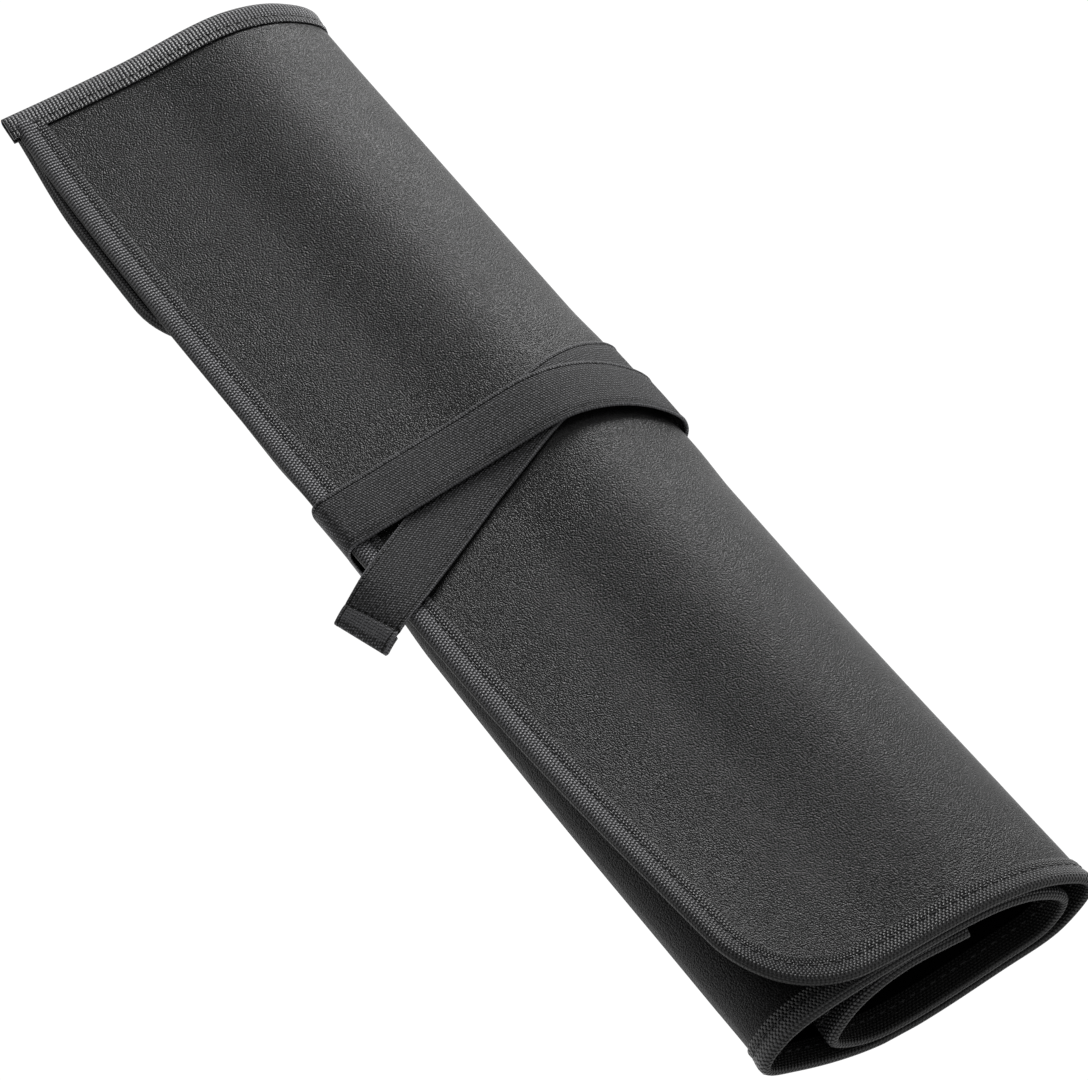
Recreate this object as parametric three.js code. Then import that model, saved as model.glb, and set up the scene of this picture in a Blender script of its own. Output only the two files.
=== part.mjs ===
// A tool bag of soft imitation leather, rolled up flat and held by a wrapped elastic strap.
//
// The bag is one bound sheet. It is described flat first, as a distance along the sheet from
// the free edge of its flap and a place along the roll, and a function then rolls it up.
// Millimetres. X runs along the roll towards its near end, -Y is the front, +Z is up.

import * as THREE from "three";

// Driving dimensions
const LENGTH = 500;
const WIDTH = 132;
const FAR_THICKNESS = 36;
const NEAR_THICKNESS = 49.6;
const FLAP_REACH = 73.5;
const FLAP_BOW = 6;
const FLAP_SETBACK = 3.6;
const BRIM_CURL = 4.5;
const LEATHER = 1;
const LINING = 1;
const TAPE = 0.8;
const TAPE_WIDTH = 11;
const CLEARANCE = 0.3;
const TURN_SPARE = 0.8;
const CORNER_RADIUS = 38;
const INNER_REACH = 72;
const COVER = 1.2;
const COVER_LENGTH = 145;
const COVER_OVERHANG = 3;
const COVER_CORNER_RADIUS = 40;
const COVER_MARGIN = 4;
const COVER_FADE = 40;
const STRAP_WIDTH = 24;
const STRAP = 1.5;
const STRAP_CLEARANCE = 0.4;
const STRAP_PLACE = -18;
const TAIL_LENGTH = 18;
const TAIL_DROOP = 36;
const TAIL_TURN = 11;
const DROOP_BEND = 4;
const HEM_LENGTH = 8;
const DIP_LENGTH = 26;
const SHORTEST_STEP = 3;

// Driving shares
const OPENING_START = 0.66;
const SETBACK_START = 0.62;
const SETBACK_END = 0.95;
const STRAP_SPREAD = 1.15;
const TUCK_SHARE = 0.4;
const OVERHANG_RISE = 0.42;
const STRAP_TENSION = 0.4;

// Colours
const LEATHER_BLACK = 0x1c1c1d;
const LINING_BLACK = 0x101011;
const TAPE_BLACK = 0x2a2b2d;
const ELASTIC_BLACK = 0x232426;

// Sizes that follow from them
const HALF_LENGTH = LENGTH / 2;
const HALF_WIDTH = WIDTH / 2;
const UNDER_LEATHER = -LEATHER / 2 - CLEARANCE;
const INNER_DEPTH = LEATHER / 2 + CLEARANCE + Math.max(LINING, TAPE);
const OUTER_TAPE = LEATHER / 2 + CLEARANCE + TAPE;
const TURN_PITCH = OUTER_TAPE + INNER_DEPTH + TURN_SPARE;
const COVER_STACK = COVER + 2 * (CLEARANCE + TAPE) + CLEARANCE;
const COVER_LEVEL = -INNER_DEPTH - CLEARANCE - TAPE - CLEARANCE - COVER / 2;
const STRAP_PITCH = STRAP + STRAP_CLEARANCE;
const ON_LEATHER = LEATHER / 2 + STRAP_CLEARANCE;
const ON_TAPE = OUTER_TAPE + STRAP_CLEARANCE;
const EDGE_INSET = TAPE + CLEARANCE;
const LINING_INSET = TAPE_WIDTH + CLEARANCE;

// One turn of the rolled section, a row for each bend or flat. Across is a share of half the
// width (front is minus) and height a share of the local thickness, at the far and near end.
// Out is the direction that the outside faces, in degrees from +Y. Slack is how much further in
// than one pitch the next turn lies there, in the same shares.
const TURN = [
  { name: "flap brim", out: 90, farAcross: -0.86, nearAcross: -0.88, farHeight: 1.0, nearHeight: 1.03,
    farSlack: [0, 0], nearSlack: [0.1, 0] },
  { name: "flap front", out: 90, farAcross: -0.38, nearAcross: -0.4, farHeight: 1.02, nearHeight: 0.995,
    farSlack: [0.04, -0.05], nearSlack: [0.05, -0.02] },
  { name: "flap back", out: 90, farAcross: 0.27, nearAcross: 0.29, farHeight: 1.09, nearHeight: 0.995,
    farSlack: [0, -0.06], nearSlack: [0, -0.01] },
  { name: "back high", out: 45, farAcross: 0.64, nearAcross: 0.67, farHeight: 0.83, nearHeight: 0.83,
    farSlack: [-0.02, -0.02], nearSlack: [-0.05, -0.02] },
  { name: "back tip", out: 0, farAcross: 0.86, nearAcross: 0.885, farHeight: 0.39, nearHeight: 0.55,
    farSlack: [-0.03, 0], nearSlack: [-0.1, -0.02] },
  { name: "back low", out: -60, farAcross: 0.7, nearAcross: 0.71, farHeight: 0.06, nearHeight: 0.24,
    farSlack: [-0.02, 0.02], nearSlack: [-0.05, 0] },
  { name: "bottom back", out: -90, farAcross: 0.35, nearAcross: 0.35, farHeight: 0, nearHeight: 0.12,
    farSlack: [0, 0], nearSlack: [0, 0] },
  { name: "bottom front", out: -90, farAcross: -0.42, nearAcross: -0.39, farHeight: 0, nearHeight: 0,
    farSlack: [0, 0], nearSlack: [0, 0] },
  { name: "front low", out: -135, farAcross: -0.84, nearAcross: -0.93, farHeight: 0.07, nearHeight: 0.25,
    farSlack: [0.04, -0.02], nearSlack: [0.26, -0.1] },
  { name: "front tip", out: 180, farAcross: -0.985, nearAcross: -1.115, farHeight: 0.3, nearHeight: 0.43,
    farSlack: [0.02, -0.01], nearSlack: [0.35, -0.1] },
  { name: "front high", out: 135, farAcross: -0.88, nearAcross: -0.98, farHeight: 0.56, nearHeight: 0.7,
    farSlack: [0.02, 0.08], nearSlack: [0.37, -0.02] },
];

// The strap's way round, a row for each stretch from its hidden end to its free tail. Place is
// the share of the strap's width that it lies from its place along the roll, and level is 1
// where it rides on the other strand.
const STRAP_ROUTE = [
  { at: "bottom front", place: 0.12, level: 1 },
  { at: "bottom back", place: 0.17, level: 1 },
  { at: "back low", place: 0.3, level: 1 },
  { at: "back tip", place: 0.28, level: 1 },
  { at: "back high", place: 0.11, level: 1 },
  { at: "flap back", place: -0.03, level: 1 },
  { at: "flap front", place: 0.04, level: 1 },
  { at: "flap brim", place: 0.15, level: 1 },
  { at: "tape step", place: 0.2, level: 0.35 },
  { at: "rim top", place: 0.23, level: 0 },
  { at: "rim corner", place: 0.23, level: 0 },
  { at: "rim front", place: 0.23, level: 0 },
  { at: "rim under", place: 0.23, level: 0 },
  { at: "front tip", place: 0.2, level: 0 },
  { at: "front low", place: 0.1, level: 0 },
  { at: "bottom front", place: -0.1, level: 0 },
  { at: "bottom back", place: -0.35, level: 0 },
  { at: "back low", place: -0.5, level: 0 },
  { at: "back tip", place: -0.59, level: 0 },
  { at: "back high", place: -0.47, level: 0 },
  { at: "flap back", place: -0.17, level: 0 },
  { at: "flap front", place: 0.58, level: 0 },
  { at: "flap brim", place: 1.23, level: 0 },
  { at: "tape step", place: 1.48, level: 0 },
  { at: "rim top", place: 1.74, level: 0 },
];

const UP = new THREE.Vector3(0, 0, 1);

// How the strap lies over the flap's bound rim: the way that its outside faces at each stop.
const RIM_SIDES = {
  "flap brim": new THREE.Vector3(0, 0, 1),
  "tape step": new THREE.Vector3(0, 0, 1),
  "rim top": new THREE.Vector3(0, -0.2, 0.98),
  "rim corner": new THREE.Vector3(0, -0.75, 0.66),
  "rim front": new THREE.Vector3(0, -1, 0.05),
  "rim under": new THREE.Vector3(0, -0.93, -0.37),
  "front tip": new THREE.Vector3(0, -0.98, -0.2),
};

// The stops of one loop round the roll, in the order that the strap passes them.
const LOOP = ["bottom front", "bottom back", "back low", "back tip", "back high", "flap back", "flap front",
  "flap brim", "tape step", "rim top", "rim corner", "rim front", "rim under", "front tip", "front low"];

// How finely things are divided. The sheet is divided from knot to knot of its section, folds
// finely and flats coarsely, and along the roll at shares of its length.
const SAMPLES_PER_KNOT = 10;
const DIVISIONS = [2, 2, 3, 3, 3, 3, 2, 1, 2, 3, 3, 3, 3, 3, 3, 3, 2, 1, 2, 3, 3, 2, 2];
const COLUMN_SHARES = [0.03, 0.12, 0.24, 0.36, 0.42, 0.464, 0.508, 0.57, 0.68, 0.78, 0.87, 0.93, 0.97];
const COLUMNS = COLUMN_SHARES.map((share) => share * LENGTH - HALF_LENGTH);
const CORNER_STEPS = 6;
const COVER_SHARES = [0, 0.2, 0.4, 0.6, 0.8, 1];
const TAIL_SHARES = [0.25, 0.45, 0.62, 0.8, 1];
const STRAP_DIVISIONS = {
  "back low": 4, "back tip": 5, "back high": 5, "flap back": 6, "flap front": 4, "flap brim": 1, "tape step": 1,
  "rim top": 1, "rim corner": 1, "rim front": 1, "rim under": 1,
};

// Knots of the rolled section: the flap's free edge, one turn, the next turn without its flap
// edge, and two at the tucked end. The flap's corner lies before the first flat knot.
const FIRST_FLAT_KNOT = 2;
const LAST_KNOT = 2 * TURN.length + 1;

function rowIndex(name) {
  return TURN.findIndex((row) => row.name === name);
}

function turnKnot(name) {
  return 1 + rowIndex(name);
}

function blend(from, to, share) {
  return from + (to - from) * share;
}

function smooth(share) {
  const s = Math.min(1, Math.max(0, share));
  return s * s * (3 - 2 * s);
}

function lengthShare(x) {
  return (x + HALF_LENGTH) / LENGTH;
}

// The bottom is lifted where the strap's two strands pass under it, and where a bound end does.
function lift(x) {
  const away = Math.abs(x - STRAP_PLACE) - STRAP_WIDTH * STRAP_SPREAD;
  const overStrap = 2 * STRAP_PITCH * (1 - smooth(away / DIP_LENGTH));
  const toTape = HALF_LENGTH - TAPE_WIDTH - Math.abs(x);
  const overTape = EDGE_INSET * smooth(1 - toTape / DIP_LENGTH);
  return Math.max(overStrap, overTape);
}

// The flat rest of the bottom gives way to the open near end over its last stretch.
function flare(x) {
  return smooth((lengthShare(x) - OPENING_START) / (1 - OPENING_START));
}

// How much room the inner cover takes between the turns.
function coverRoom(x) {
  const past = x + HALF_LENGTH - COVER_LENGTH;
  return COVER_STACK * (1 - smooth((past - COVER_MARGIN) / COVER_FADE));
}

// The flap's free edge bows forward at its middle and draws back towards its rounded corner.
function flapEdge(x) {
  const share = lengthShare(x);
  const bow = FLAP_BOW * (1 - (2 * share - 1) ** 4);
  const setback = FLAP_SETBACK * smooth((share - SETBACK_START) / (SETBACK_END - SETBACK_START));
  return setback - bow - FLAP_REACH;
}

// The knots of the rolled sheet's middle line at one place along the roll.
function sectionKnots(x) {
  const share = lengthShare(x);
  const opening = flare(x);
  const floor = LEATHER / 2 + lift(x);
  const roof = blend(FAR_THICKNESS, NEAR_THICKNESS, share) - OUTER_TAPE;
  const knots = [new THREE.Vector2(flapEdge(x), roof + BRIM_CURL * opening)];
  const turn = TURN.map((row) => {
    const across = HALF_WIDTH * blend(row.farAcross, row.nearAcross, share);
    const height = floor + (roof - floor) * blend(row.farHeight, row.nearHeight, opening);
    return new THREE.Vector2(across, height);
  });
  knots.push(...turn);
  const pitch = TURN_PITCH + coverRoom(x);
  const inner = TURN.map((row, index) => {
    const out = THREE.MathUtils.degToRad(row.out);
    const across = HALF_WIDTH * blend(row.farSlack[0], row.nearSlack[0], share);
    const height = (roof - floor) * blend(row.farSlack[1], row.nearSlack[1], opening);
    return turn[index].clone().add(new THREE.Vector2(across - pitch * Math.cos(out), height - pitch * Math.sin(out)));
  });
  knots.push(...inner.slice(1));
  const lastFold = rowIndex("front high");
  const tuckEnd = turn[lastFold].x + INNER_REACH;
  const tuckHeight = inner[rowIndex("flap front")].y - TURN_PITCH - TURN_SPARE;
  knots.push(new THREE.Vector2(blend(inner[lastFold].x, tuckEnd, TUCK_SHARE), tuckHeight));
  knots.push(new THREE.Vector2(tuckEnd, tuckHeight));
  return knots;
}

// One section of the roll: points of the middle line with their outward normals and distances.
class Section {
  constructor(x) {
    const knots = sectionKnots(x);
    const curve = new THREE.CatmullRomCurve3(knots.map((k) => new THREE.Vector3(x, k.x, k.y)), false, "centripetal");
    const spans = knots.length - 1;
    const count = spans * SAMPLES_PER_KNOT;
    this.points = Array.from({ length: count + 1 }, (_, i) => curve.getPoint(i / count));
    this.distances = [0];
    for (let i = 1; i <= count; i += 1) {
      this.distances.push(this.distances[i - 1] + this.points[i].distanceTo(this.points[i - 1]));
    }
    this.knotDistances = knots.map((_, k) => this.distances[k * SAMPLES_PER_KNOT]);
    this.total = this.distances[count];
  }

  tangentAt(index) {
    const before = this.points[Math.max(0, index - 1)];
    const after = this.points[Math.min(this.points.length - 1, index + 1)];
    return after.clone().sub(before).normalize();
  }

  place(distance, level) {
    const last = this.points.length - 1;
    let i = 0;
    while (i < last - 1 && this.distances[i + 1] < distance) {
      i += 1;
    }
    const share = (distance - this.distances[i]) / (this.distances[i + 1] - this.distances[i]);
    const tangent = this.tangentAt(i).lerp(this.tangentAt(i + 1), Math.min(1, Math.max(0, share))).normalize();
    const point = this.points[i].clone().lerp(this.points[i + 1], share);
    return point.add(new THREE.Vector3(0, -tangent.z * level, tangent.y * level));
  }
}

const sections = new Map();

function sectionAt(x) {
  const key = x.toFixed(4);
  if (!sections.has(key)) {
    sections.set(key, new Section(x));
  }
  return sections.get(key);
}

// The rolled-up position of a point of the flat sheet, at a level above or below its middle.
function rollUp(distance, x, level) {
  return sectionAt(x).place(distance, level);
}

// Distances at which the sheet is divided, from one knot of the section to another.
function divisionsAt(x, fromKnot, toKnot) {
  const { knotDistances } = sectionAt(x);
  const result = [];
  for (let k = fromKnot; k < toKnot; k += 1) {
    for (let i = 0; i < DIVISIONS[k]; i += 1) {
      result.push(blend(knotDistances[k], knotDistances[k + 1], i / DIVISIONS[k]));
    }
  }
  result.push(knotDistances[toKnot]);
  return result;
}

function cornerAngles() {
  return Array.from({ length: CORNER_STEPS + 1 }, (_, i) => (i / CORNER_STEPS) * Math.PI / 2);
}

// A closed mesh from triangles given as corner positions.
function closedMesh(name, triangles, colour, roughness) {
  const geometry = new THREE.BufferGeometry();
  const positions = triangles.flatMap((corners) => corners.flatMap((p) => [p.x, p.y, p.z]));
  geometry.setAttribute("position", new THREE.Float32BufferAttribute(positions, 3));
  geometry.computeVertexNormals();
  const material = new THREE.MeshStandardMaterial({ color: colour, roughness, metalness: 0 });
  const mesh = new THREE.Mesh(geometry, material);
  mesh.name = name;
  return mesh;
}

function quad(a, b, c, d) {
  return [[a, b, c], [a, c, d]];
}

// A wall between two grids of points with the same rows and columns, closed at its four edges.
function wallBetween(top, bottom) {
  const rows = top.length;
  const columns = top[0].length;
  const triangles = [];
  for (let i = 0; i + 1 < rows; i += 1) {
    for (let j = 0; j + 1 < columns; j += 1) {
      triangles.push(...quad(top[i][j], top[i][j + 1], top[i + 1][j + 1], top[i + 1][j]));
      triangles.push(...quad(bottom[i][j], bottom[i + 1][j], bottom[i + 1][j + 1], bottom[i][j + 1]));
    }
    const last = columns - 1;
    triangles.push(...quad(top[i][0], top[i + 1][0], bottom[i + 1][0], bottom[i][0]));
    triangles.push(...quad(top[i][last], bottom[i][last], bottom[i + 1][last], top[i + 1][last]));
  }
  const end = rows - 1;
  for (let j = 0; j + 1 < columns; j += 1) {
    triangles.push(...quad(top[0][j], bottom[0][j], bottom[0][j + 1], top[0][j + 1]));
    triangles.push(...quad(top[end][j], top[end][j + 1], bottom[end][j + 1], bottom[end][j]));
  }
  return triangles;
}

// A bar swept through rings of points; caps lists the quads that close an end ring.
function sweptBar(rings, caps) {
  const size = rings[0].length;
  const triangles = [];
  for (let i = 0; i + 1 < rings.length; i += 1) {
    for (let j = 0; j < size; j += 1) {
      const next = (j + 1) % size;
      triangles.push(...quad(rings[i][j], rings[i + 1][j], rings[i + 1][next], rings[i][next]));
    }
  }
  const first = rings[0];
  const last = rings[rings.length - 1];
  for (const [a, b, c, d] of caps) {
    triangles.push(...quad(first[a], first[b], first[c], first[d]));
    triangles.push(...quad(last[d], last[c], last[b], last[a]));
  }
  return triangles;
}

// One layer of the big sheet, set in from the bound outline, with the flap's corner rounded.
function sheetLayer(inset, topLevel, bottomLevel) {
  const radius = CORNER_RADIUS - inset;
  const xStart = -HALF_LENGTH + inset;
  const xEnd = HALF_LENGTH - inset;
  const columns = [xStart, ...COLUMNS, xEnd];
  const corner = cornerAngles().map((angle) => ({
    distance: inset + radius * (1 - Math.cos(angle)),
    reach: xEnd - radius + radius * Math.sin(angle),
  }));
  const rowPoints = (level) => {
    const rows = corner.map(({ distance, reach }) => columns.map((x) => {
      const moved = xStart + (x - xStart) * (reach - xStart) / (xEnd - xStart);
      return rollUp(distance, moved, level);
    }));
    const lists = columns.map((x) => {
      const list = divisionsAt(x, FIRST_FLAT_KNOT, LAST_KNOT);
      list[list.length - 1] -= inset;
      return list;
    });
    for (let i = 0; i < lists[0].length; i += 1) {
      rows.push(columns.map((x, j) => rollUp(lists[j][i], x, level)));
    }
    return rows;
  };
  return wallBetween(rowPoints(topLevel), rowPoints(bottomLevel));
}

// The tape folded round an edge, as a U-shaped section. Each point is a depth in from the
// tape's outer edge and a level.
function tapeSection(middle, half, legWidth) {
  const outside = middle + half + CLEARANCE + TAPE;
  const inside = middle - half - CLEARANCE - TAPE;
  return [
    [legWidth, outside], [0, outside], [0, inside], [legWidth, inside],
    [legWidth, inside + TAPE], [TAPE, inside + TAPE], [TAPE, outside - TAPE], [legWidth, outside - TAPE],
  ];
}

const TAPE_CAPS = [[0, 1, 6, 7], [1, 2, 5, 6], [2, 3, 4, 5]];

// The tape along the near end, round the flap's corner and along the flap's free edge.
function edgeBinding() {
  const section = tapeSection(0, LEATHER / 2, TAPE_WIDTH);
  const rings = [];
  const lastDivision = divisionsAt(HALF_LENGTH, FIRST_FLAT_KNOT, LAST_KNOT).length - 1;
  for (let i = lastDivision; i >= 0; i -= 1) {
    rings.push(section.map(([depth, level]) => {
      const x = HALF_LENGTH - depth;
      return rollUp(divisionsAt(x, FIRST_FLAT_KNOT, LAST_KNOT)[i], x, level);
    }));
  }
  for (const angle of cornerAngles().reverse()) {
    rings.push(section.map(([depth, level]) => {
      const radius = CORNER_RADIUS - depth;
      const distance = CORNER_RADIUS - radius * Math.cos(angle);
      return rollUp(distance, HALF_LENGTH - CORNER_RADIUS + radius * Math.sin(angle), level);
    }));
  }
  const end = -HALF_LENGTH + TAPE_WIDTH + CLEARANCE;
  const cornerStart = HALF_LENGTH - CORNER_RADIUS;
  const stops = COLUMNS.filter((x) => x > end + SHORTEST_STEP && x < cornerStart - SHORTEST_STEP).reverse();
  for (const x of [...stops, end]) {
    rings.push(section.map(([depth, level]) => rollUp(depth, x, level)));
  }
  return sweptBar(rings, TAPE_CAPS);
}

// The tape along the far end, cut square at the flap's free edge.
function farEndBinding() {
  const section = tapeSection(0, LEATHER / 2, TAPE_WIDTH);
  const at = (x) => {
    const start = cornerAngles().map((angle) => CORNER_RADIUS * (1 - Math.cos(angle)));
    return [...start, ...divisionsAt(x, FIRST_FLAT_KNOT, LAST_KNOT)];
  };
  const count = at(-HALF_LENGTH).length;
  const rings = [];
  for (let i = 0; i < count; i += 1) {
    rings.push(section.map(([depth, level]) => {
      const x = -HALF_LENGTH + depth;
      return rollUp(at(x)[i], x, level);
    }));
  }
  return sweptBar(rings, TAPE_CAPS);
}

// The tape along the sheet's hidden inner edge, between the two end tapes.
function innerEdgeBinding() {
  const section = tapeSection(0, LEATHER / 2, TAPE_WIDTH);
  const reach = HALF_LENGTH - LINING_INSET;
  const rings = [-reach, ...COLUMNS.slice(1, -1), reach].map((x) =>
    section.map(([depth, level]) => rollUp(sectionAt(x).total - depth, x, level)));
  return sweptBar(rings, TAPE_CAPS);
}

// The flat outline of the inner cover: the distance and place of a point at a depth in from its
// bound edge, first along the front, then round its corner and back along its end.
const COVER_START = -HALF_LENGTH + EDGE_INSET;
const COVER_END = -HALF_LENGTH + COVER_LENGTH;

// The cover's front edge comes out from under the flap as it leaves the far end.
function coverOverhang(x) {
  return COVER_OVERHANG * smooth((x - COVER_START) / (COVER_LENGTH * OVERHANG_RISE));
}

function coverFrontStops(depth) {
  const straight = COVER_END - COVER_CORNER_RADIUS - COVER_START;
  return COVER_SHARES.slice(0, -1).map((share) => {
    const x = COVER_START + straight * share;
    return { distance: depth - coverOverhang(x), x };
  });
}

function coverCornerStops(depth) {
  const radius = COVER_CORNER_RADIUS - depth;
  return cornerAngles().map((angle) => ({
    distance: COVER_CORNER_RADIUS - COVER_OVERHANG - radius * Math.cos(angle),
    x: COVER_END - COVER_CORNER_RADIUS + radius * Math.sin(angle),
  }));
}

function coverDistances(x) {
  return divisionsAt(x, FIRST_FLAT_KNOT, turnKnot("bottom front"));
}

function coverFlap() {
  const inset = EDGE_INSET;
  const radius = COVER_CORNER_RADIUS - inset;
  const xEnd = COVER_END - inset;
  const rowPoints = (level) => {
    const rows = cornerAngles().map((angle) => {
      const fromEdge = inset + radius * (1 - Math.cos(angle));
      const reach = xEnd - radius + radius * Math.sin(angle);
      return COVER_SHARES.map((share) => {
        const x = blend(COVER_START, reach, share);
        return rollUp(fromEdge - coverOverhang(x), x, level);
      });
    });
    const columns = COVER_SHARES.map((share) => blend(COVER_START, xEnd, share));
    const lists = columns.map(coverDistances);
    for (let i = 0; i < lists[0].length; i += 1) {
      rows.push(columns.map((x, j) => rollUp(lists[j][i], x, level)));
    }
    return rows;
  };
  return wallBetween(rowPoints(COVER_LEVEL + COVER / 2), rowPoints(COVER_LEVEL - COVER / 2));
}

function coverBinding() {
  const section = tapeSection(COVER_LEVEL, COVER / 2, TAPE_WIDTH);
  const rings = [];
  const count = coverDistances(COVER_END).length;
  for (let i = count - 1; i >= 0; i -= 1) {
    rings.push(section.map(([depth, level]) => {
      const x = COVER_END - depth;
      return rollUp(coverDistances(x)[i], x, level);
    }));
  }
  const outline = (depth) => [...coverCornerStops(depth).reverse(), ...coverFrontStops(depth).reverse()];
  for (let i = 0; i < outline(0).length; i += 1) {
    rings.push(section.map(([depth, level]) => {
      const { distance, x } = outline(depth)[i];
      return rollUp(distance, x, level);
    }));
  }
  return sweptBar(rings, TAPE_CAPS);
}

// The strap lies over the outer turn from its flap round to the front fold. From that fold's tip
// it runs straight up and over the flap's bound rim, as its free stretch.
function freeStretch(x) {
  const section = sectionAt(x);
  const onSheet = (name) => rollUp(section.knotDistances[turnKnot(name)], x, ON_LEATHER);
  const rim = section.points[0];
  const tip = onSheet("front tip");
  const brim = onSheet("flap brim");
  return {
    "tape step": new THREE.Vector3(x, rim.y + TAPE_WIDTH + 2 * TAPE, rim.z + ON_TAPE),
    "rim top": new THREE.Vector3(x, rim.y + TAPE, rim.z + ON_TAPE),
    "rim corner": new THREE.Vector3(x, rim.y - CLEARANCE, rim.z + OUTER_TAPE + STRAP_CLEARANCE / 2),
    "rim front": new THREE.Vector3(x, rim.y - STRAP_CLEARANCE, rim.z),
    "rim under": new THREE.Vector3(x, rim.y - CLEARANCE, rim.z - INNER_DEPTH - CLEARANCE),
    "front tip": tip,
    "flap brim": brim,
  };
}

// A point over the loop at a height above it. The position counts the loop's knots. The sheet
// runs the other way round, so a share of one loop step is a share back along the sheet.
function overLoop(position, x, height) {
  const wrapped = ((position % LOOP.length) + LOOP.length) % LOOP.length;
  const from = Math.floor(wrapped);
  const share = wrapped - from;
  const fromName = LOOP[from];
  const toName = LOOP[(from + 1) % LOOP.length];
  const fromKnot = turnKnot(fromName);
  const toKnot = turnKnot(toName);
  if (fromKnot > 0 && toKnot > 0 && fromKnot - toKnot === 1) {
    const { knotDistances } = sectionAt(x);
    const distance = blend(knotDistances[fromKnot], knotDistances[toKnot], share);
    return rollUp(distance, x, ON_LEATHER + height);
  }
  const free = freeStretch(x);
  const a = free[fromName];
  const b = free[toName];
  const normal = new THREE.Vector3(0, a.z - b.z, b.y - a.y).normalize();
  const side = (name, fallback) => RIM_SIDES[name] ?? fallback;
  const facing = side(fromName, normal).clone().lerp(side(toName, normal), share).normalize();
  return a.clone().lerp(b, share).addScaledVector(facing, height);
}

function loopDivisions(name) {
  return STRAP_DIVISIONS[name] ?? DIVISIONS[rowIndex(name)];
}

// The strap's stations: its position round the loop, its place along the roll and its level.
function strapStations() {
  const curve = new THREE.CatmullRomCurve3(
    STRAP_ROUTE.map((row, i) => new THREE.Vector3(i, row.place, row.level)), false, "catmullrom",
    STRAP_TENSION,
  );
  const stations = [];
  const last = STRAP_ROUTE.length - 1;
  for (let i = 0; i < last; i += 1) {
    const divisions = loopDivisions(STRAP_ROUTE[i].at);
    for (let k = 0; k < divisions; k += 1) {
      const point = curve.getPoint((i + k / divisions) / last);
      stations.push({ position: i + k / divisions, x: STRAP_PLACE + STRAP_WIDTH * point.y, level: point.z });
    }
  }
  const beforeRim = curve.getPoint((last - 0.5) / last);
  stations.push({ position: last - 0.5, x: STRAP_PLACE + STRAP_WIDTH * beforeRim.y, level: beforeRim.z });
  return stations;
}

// The strap as rings of four corners: two edges, each at its inner and outer face. Its width is
// laid square to its way along, measured on the surface under it.
function elasticStrap() {
  const stations = strapStations();
  const centres = stations.map(({ position, x, level }) => overLoop(position, x, level * STRAP_PITCH));
  const rings = stations.map(({ position, x, level }, i) => {
    const before = Math.max(0, i - 1);
    const after = Math.min(stations.length - 1, i + 1);
    const along = centres[after].clone().sub(centres[before]);
    const around = Math.hypot(along.y, along.z);
    const slant = Math.atan2(along.x, around);
    const perKnot = around / (stations[after].position - stations[before].position);
    const reachX = Math.cos(slant) * STRAP_WIDTH / 2;
    const reachAround = Math.sin(slant) * STRAP_WIDTH / 2 / perKnot;
    const edge = (side, height) =>
      overLoop(position - side * reachAround, x + side * reachX, level * STRAP_PITCH + height);
    return [edge(-1, 0), edge(-1, STRAP), edge(1, STRAP), edge(1, 0)];
  });
  return sweptBar([...rings, ...strapTail(rings)], [[0, 1, 2, 3]]);
}

// The free tail runs on past the flap's rim, turning and drooping as it goes, and ends in a
// doubled hem.
function strapTail(rings) {
  const last = rings[rings.length - 1];
  const before = rings[rings.length - 2];
  const middleOf = (ring) => ring[0].clone().add(ring[2]).multiplyScalar(0.5);
  const start = middleOf(last);
  const across = last[3].clone().sub(last[0]).setZ(0).normalize();
  const way = start.clone().sub(middleOf(before)).setZ(0);
  way.addScaledVector(across, -way.dot(across)).normalize();
  const rim = sectionAt(start.x).points[0];
  const length = (start.y - rim.y) / -way.y + TAIL_LENGTH;
  const slope = Math.tan(THREE.MathUtils.degToRad(TAIL_DROOP));
  const droop = (y) => {
    const past = Math.max(0, rim.y - 2 * STRAP - y);
    return slope * past * past / (past + DROOP_BEND);
  };
  const top = Math.max(last[1].z, last[2].z) + CLEARANCE;
  const ring = (reach, doubled) => {
    const turned = -THREE.MathUtils.degToRad(TAIL_TURN) * reach / length;
    const centre = start.clone().addScaledVector(way.clone().applyAxisAngle(UP, turned / 2), reach);
    return last.map((corner, index) => {
      const point = corner.clone().sub(start).applyAxisAngle(UP, turned).add(centre);
      const inner = index === 0 || index === 3;
      const under = inner ? STRAP * (doubled ? 2 : 1) : 0;
      return point.setZ(top - under - droop(point.y));
    });
  };
  const hemStart = length - HEM_LENGTH;
  const plain = TAIL_SHARES.map((share) => ring(hemStart * share, false));
  const hem = [hemStart + CLEARANCE, length].map((reach) => ring(reach, true));
  return [...plain, ...hem];
}

const group = new THREE.Group();
group.add(closedMesh("outer_shell", sheetLayer(EDGE_INSET, LEATHER / 2, -LEATHER / 2), LEATHER_BLACK, 0.5));
group.add(closedMesh(
  "lining", sheetLayer(LINING_INSET, UNDER_LEATHER, UNDER_LEATHER - LINING), LINING_BLACK, 0.7,
));
group.add(closedMesh("edge_binding", edgeBinding(), TAPE_BLACK, 0.85));
group.add(closedMesh("far_end_binding", farEndBinding(), TAPE_BLACK, 0.85));
group.add(closedMesh("inner_edge_binding", innerEdgeBinding(), TAPE_BLACK, 0.85));
group.add(closedMesh("cover_flap", coverFlap(), LEATHER_BLACK, 0.6));
group.add(closedMesh("cover_flap_binding", coverBinding(), TAPE_BLACK, 0.85));
group.add(closedMesh("elastic_strap", elasticStrap(), ELASTIC_BLACK, 0.9));

// The origin is the middle of the whole bag's box, on the surface that it lies on.
const box = new THREE.Box3().setFromObject(group);
const middle = box.getCenter(new THREE.Vector3());
group.position.set(-middle.x, -middle.y, -box.min.z);

export default group;
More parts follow.
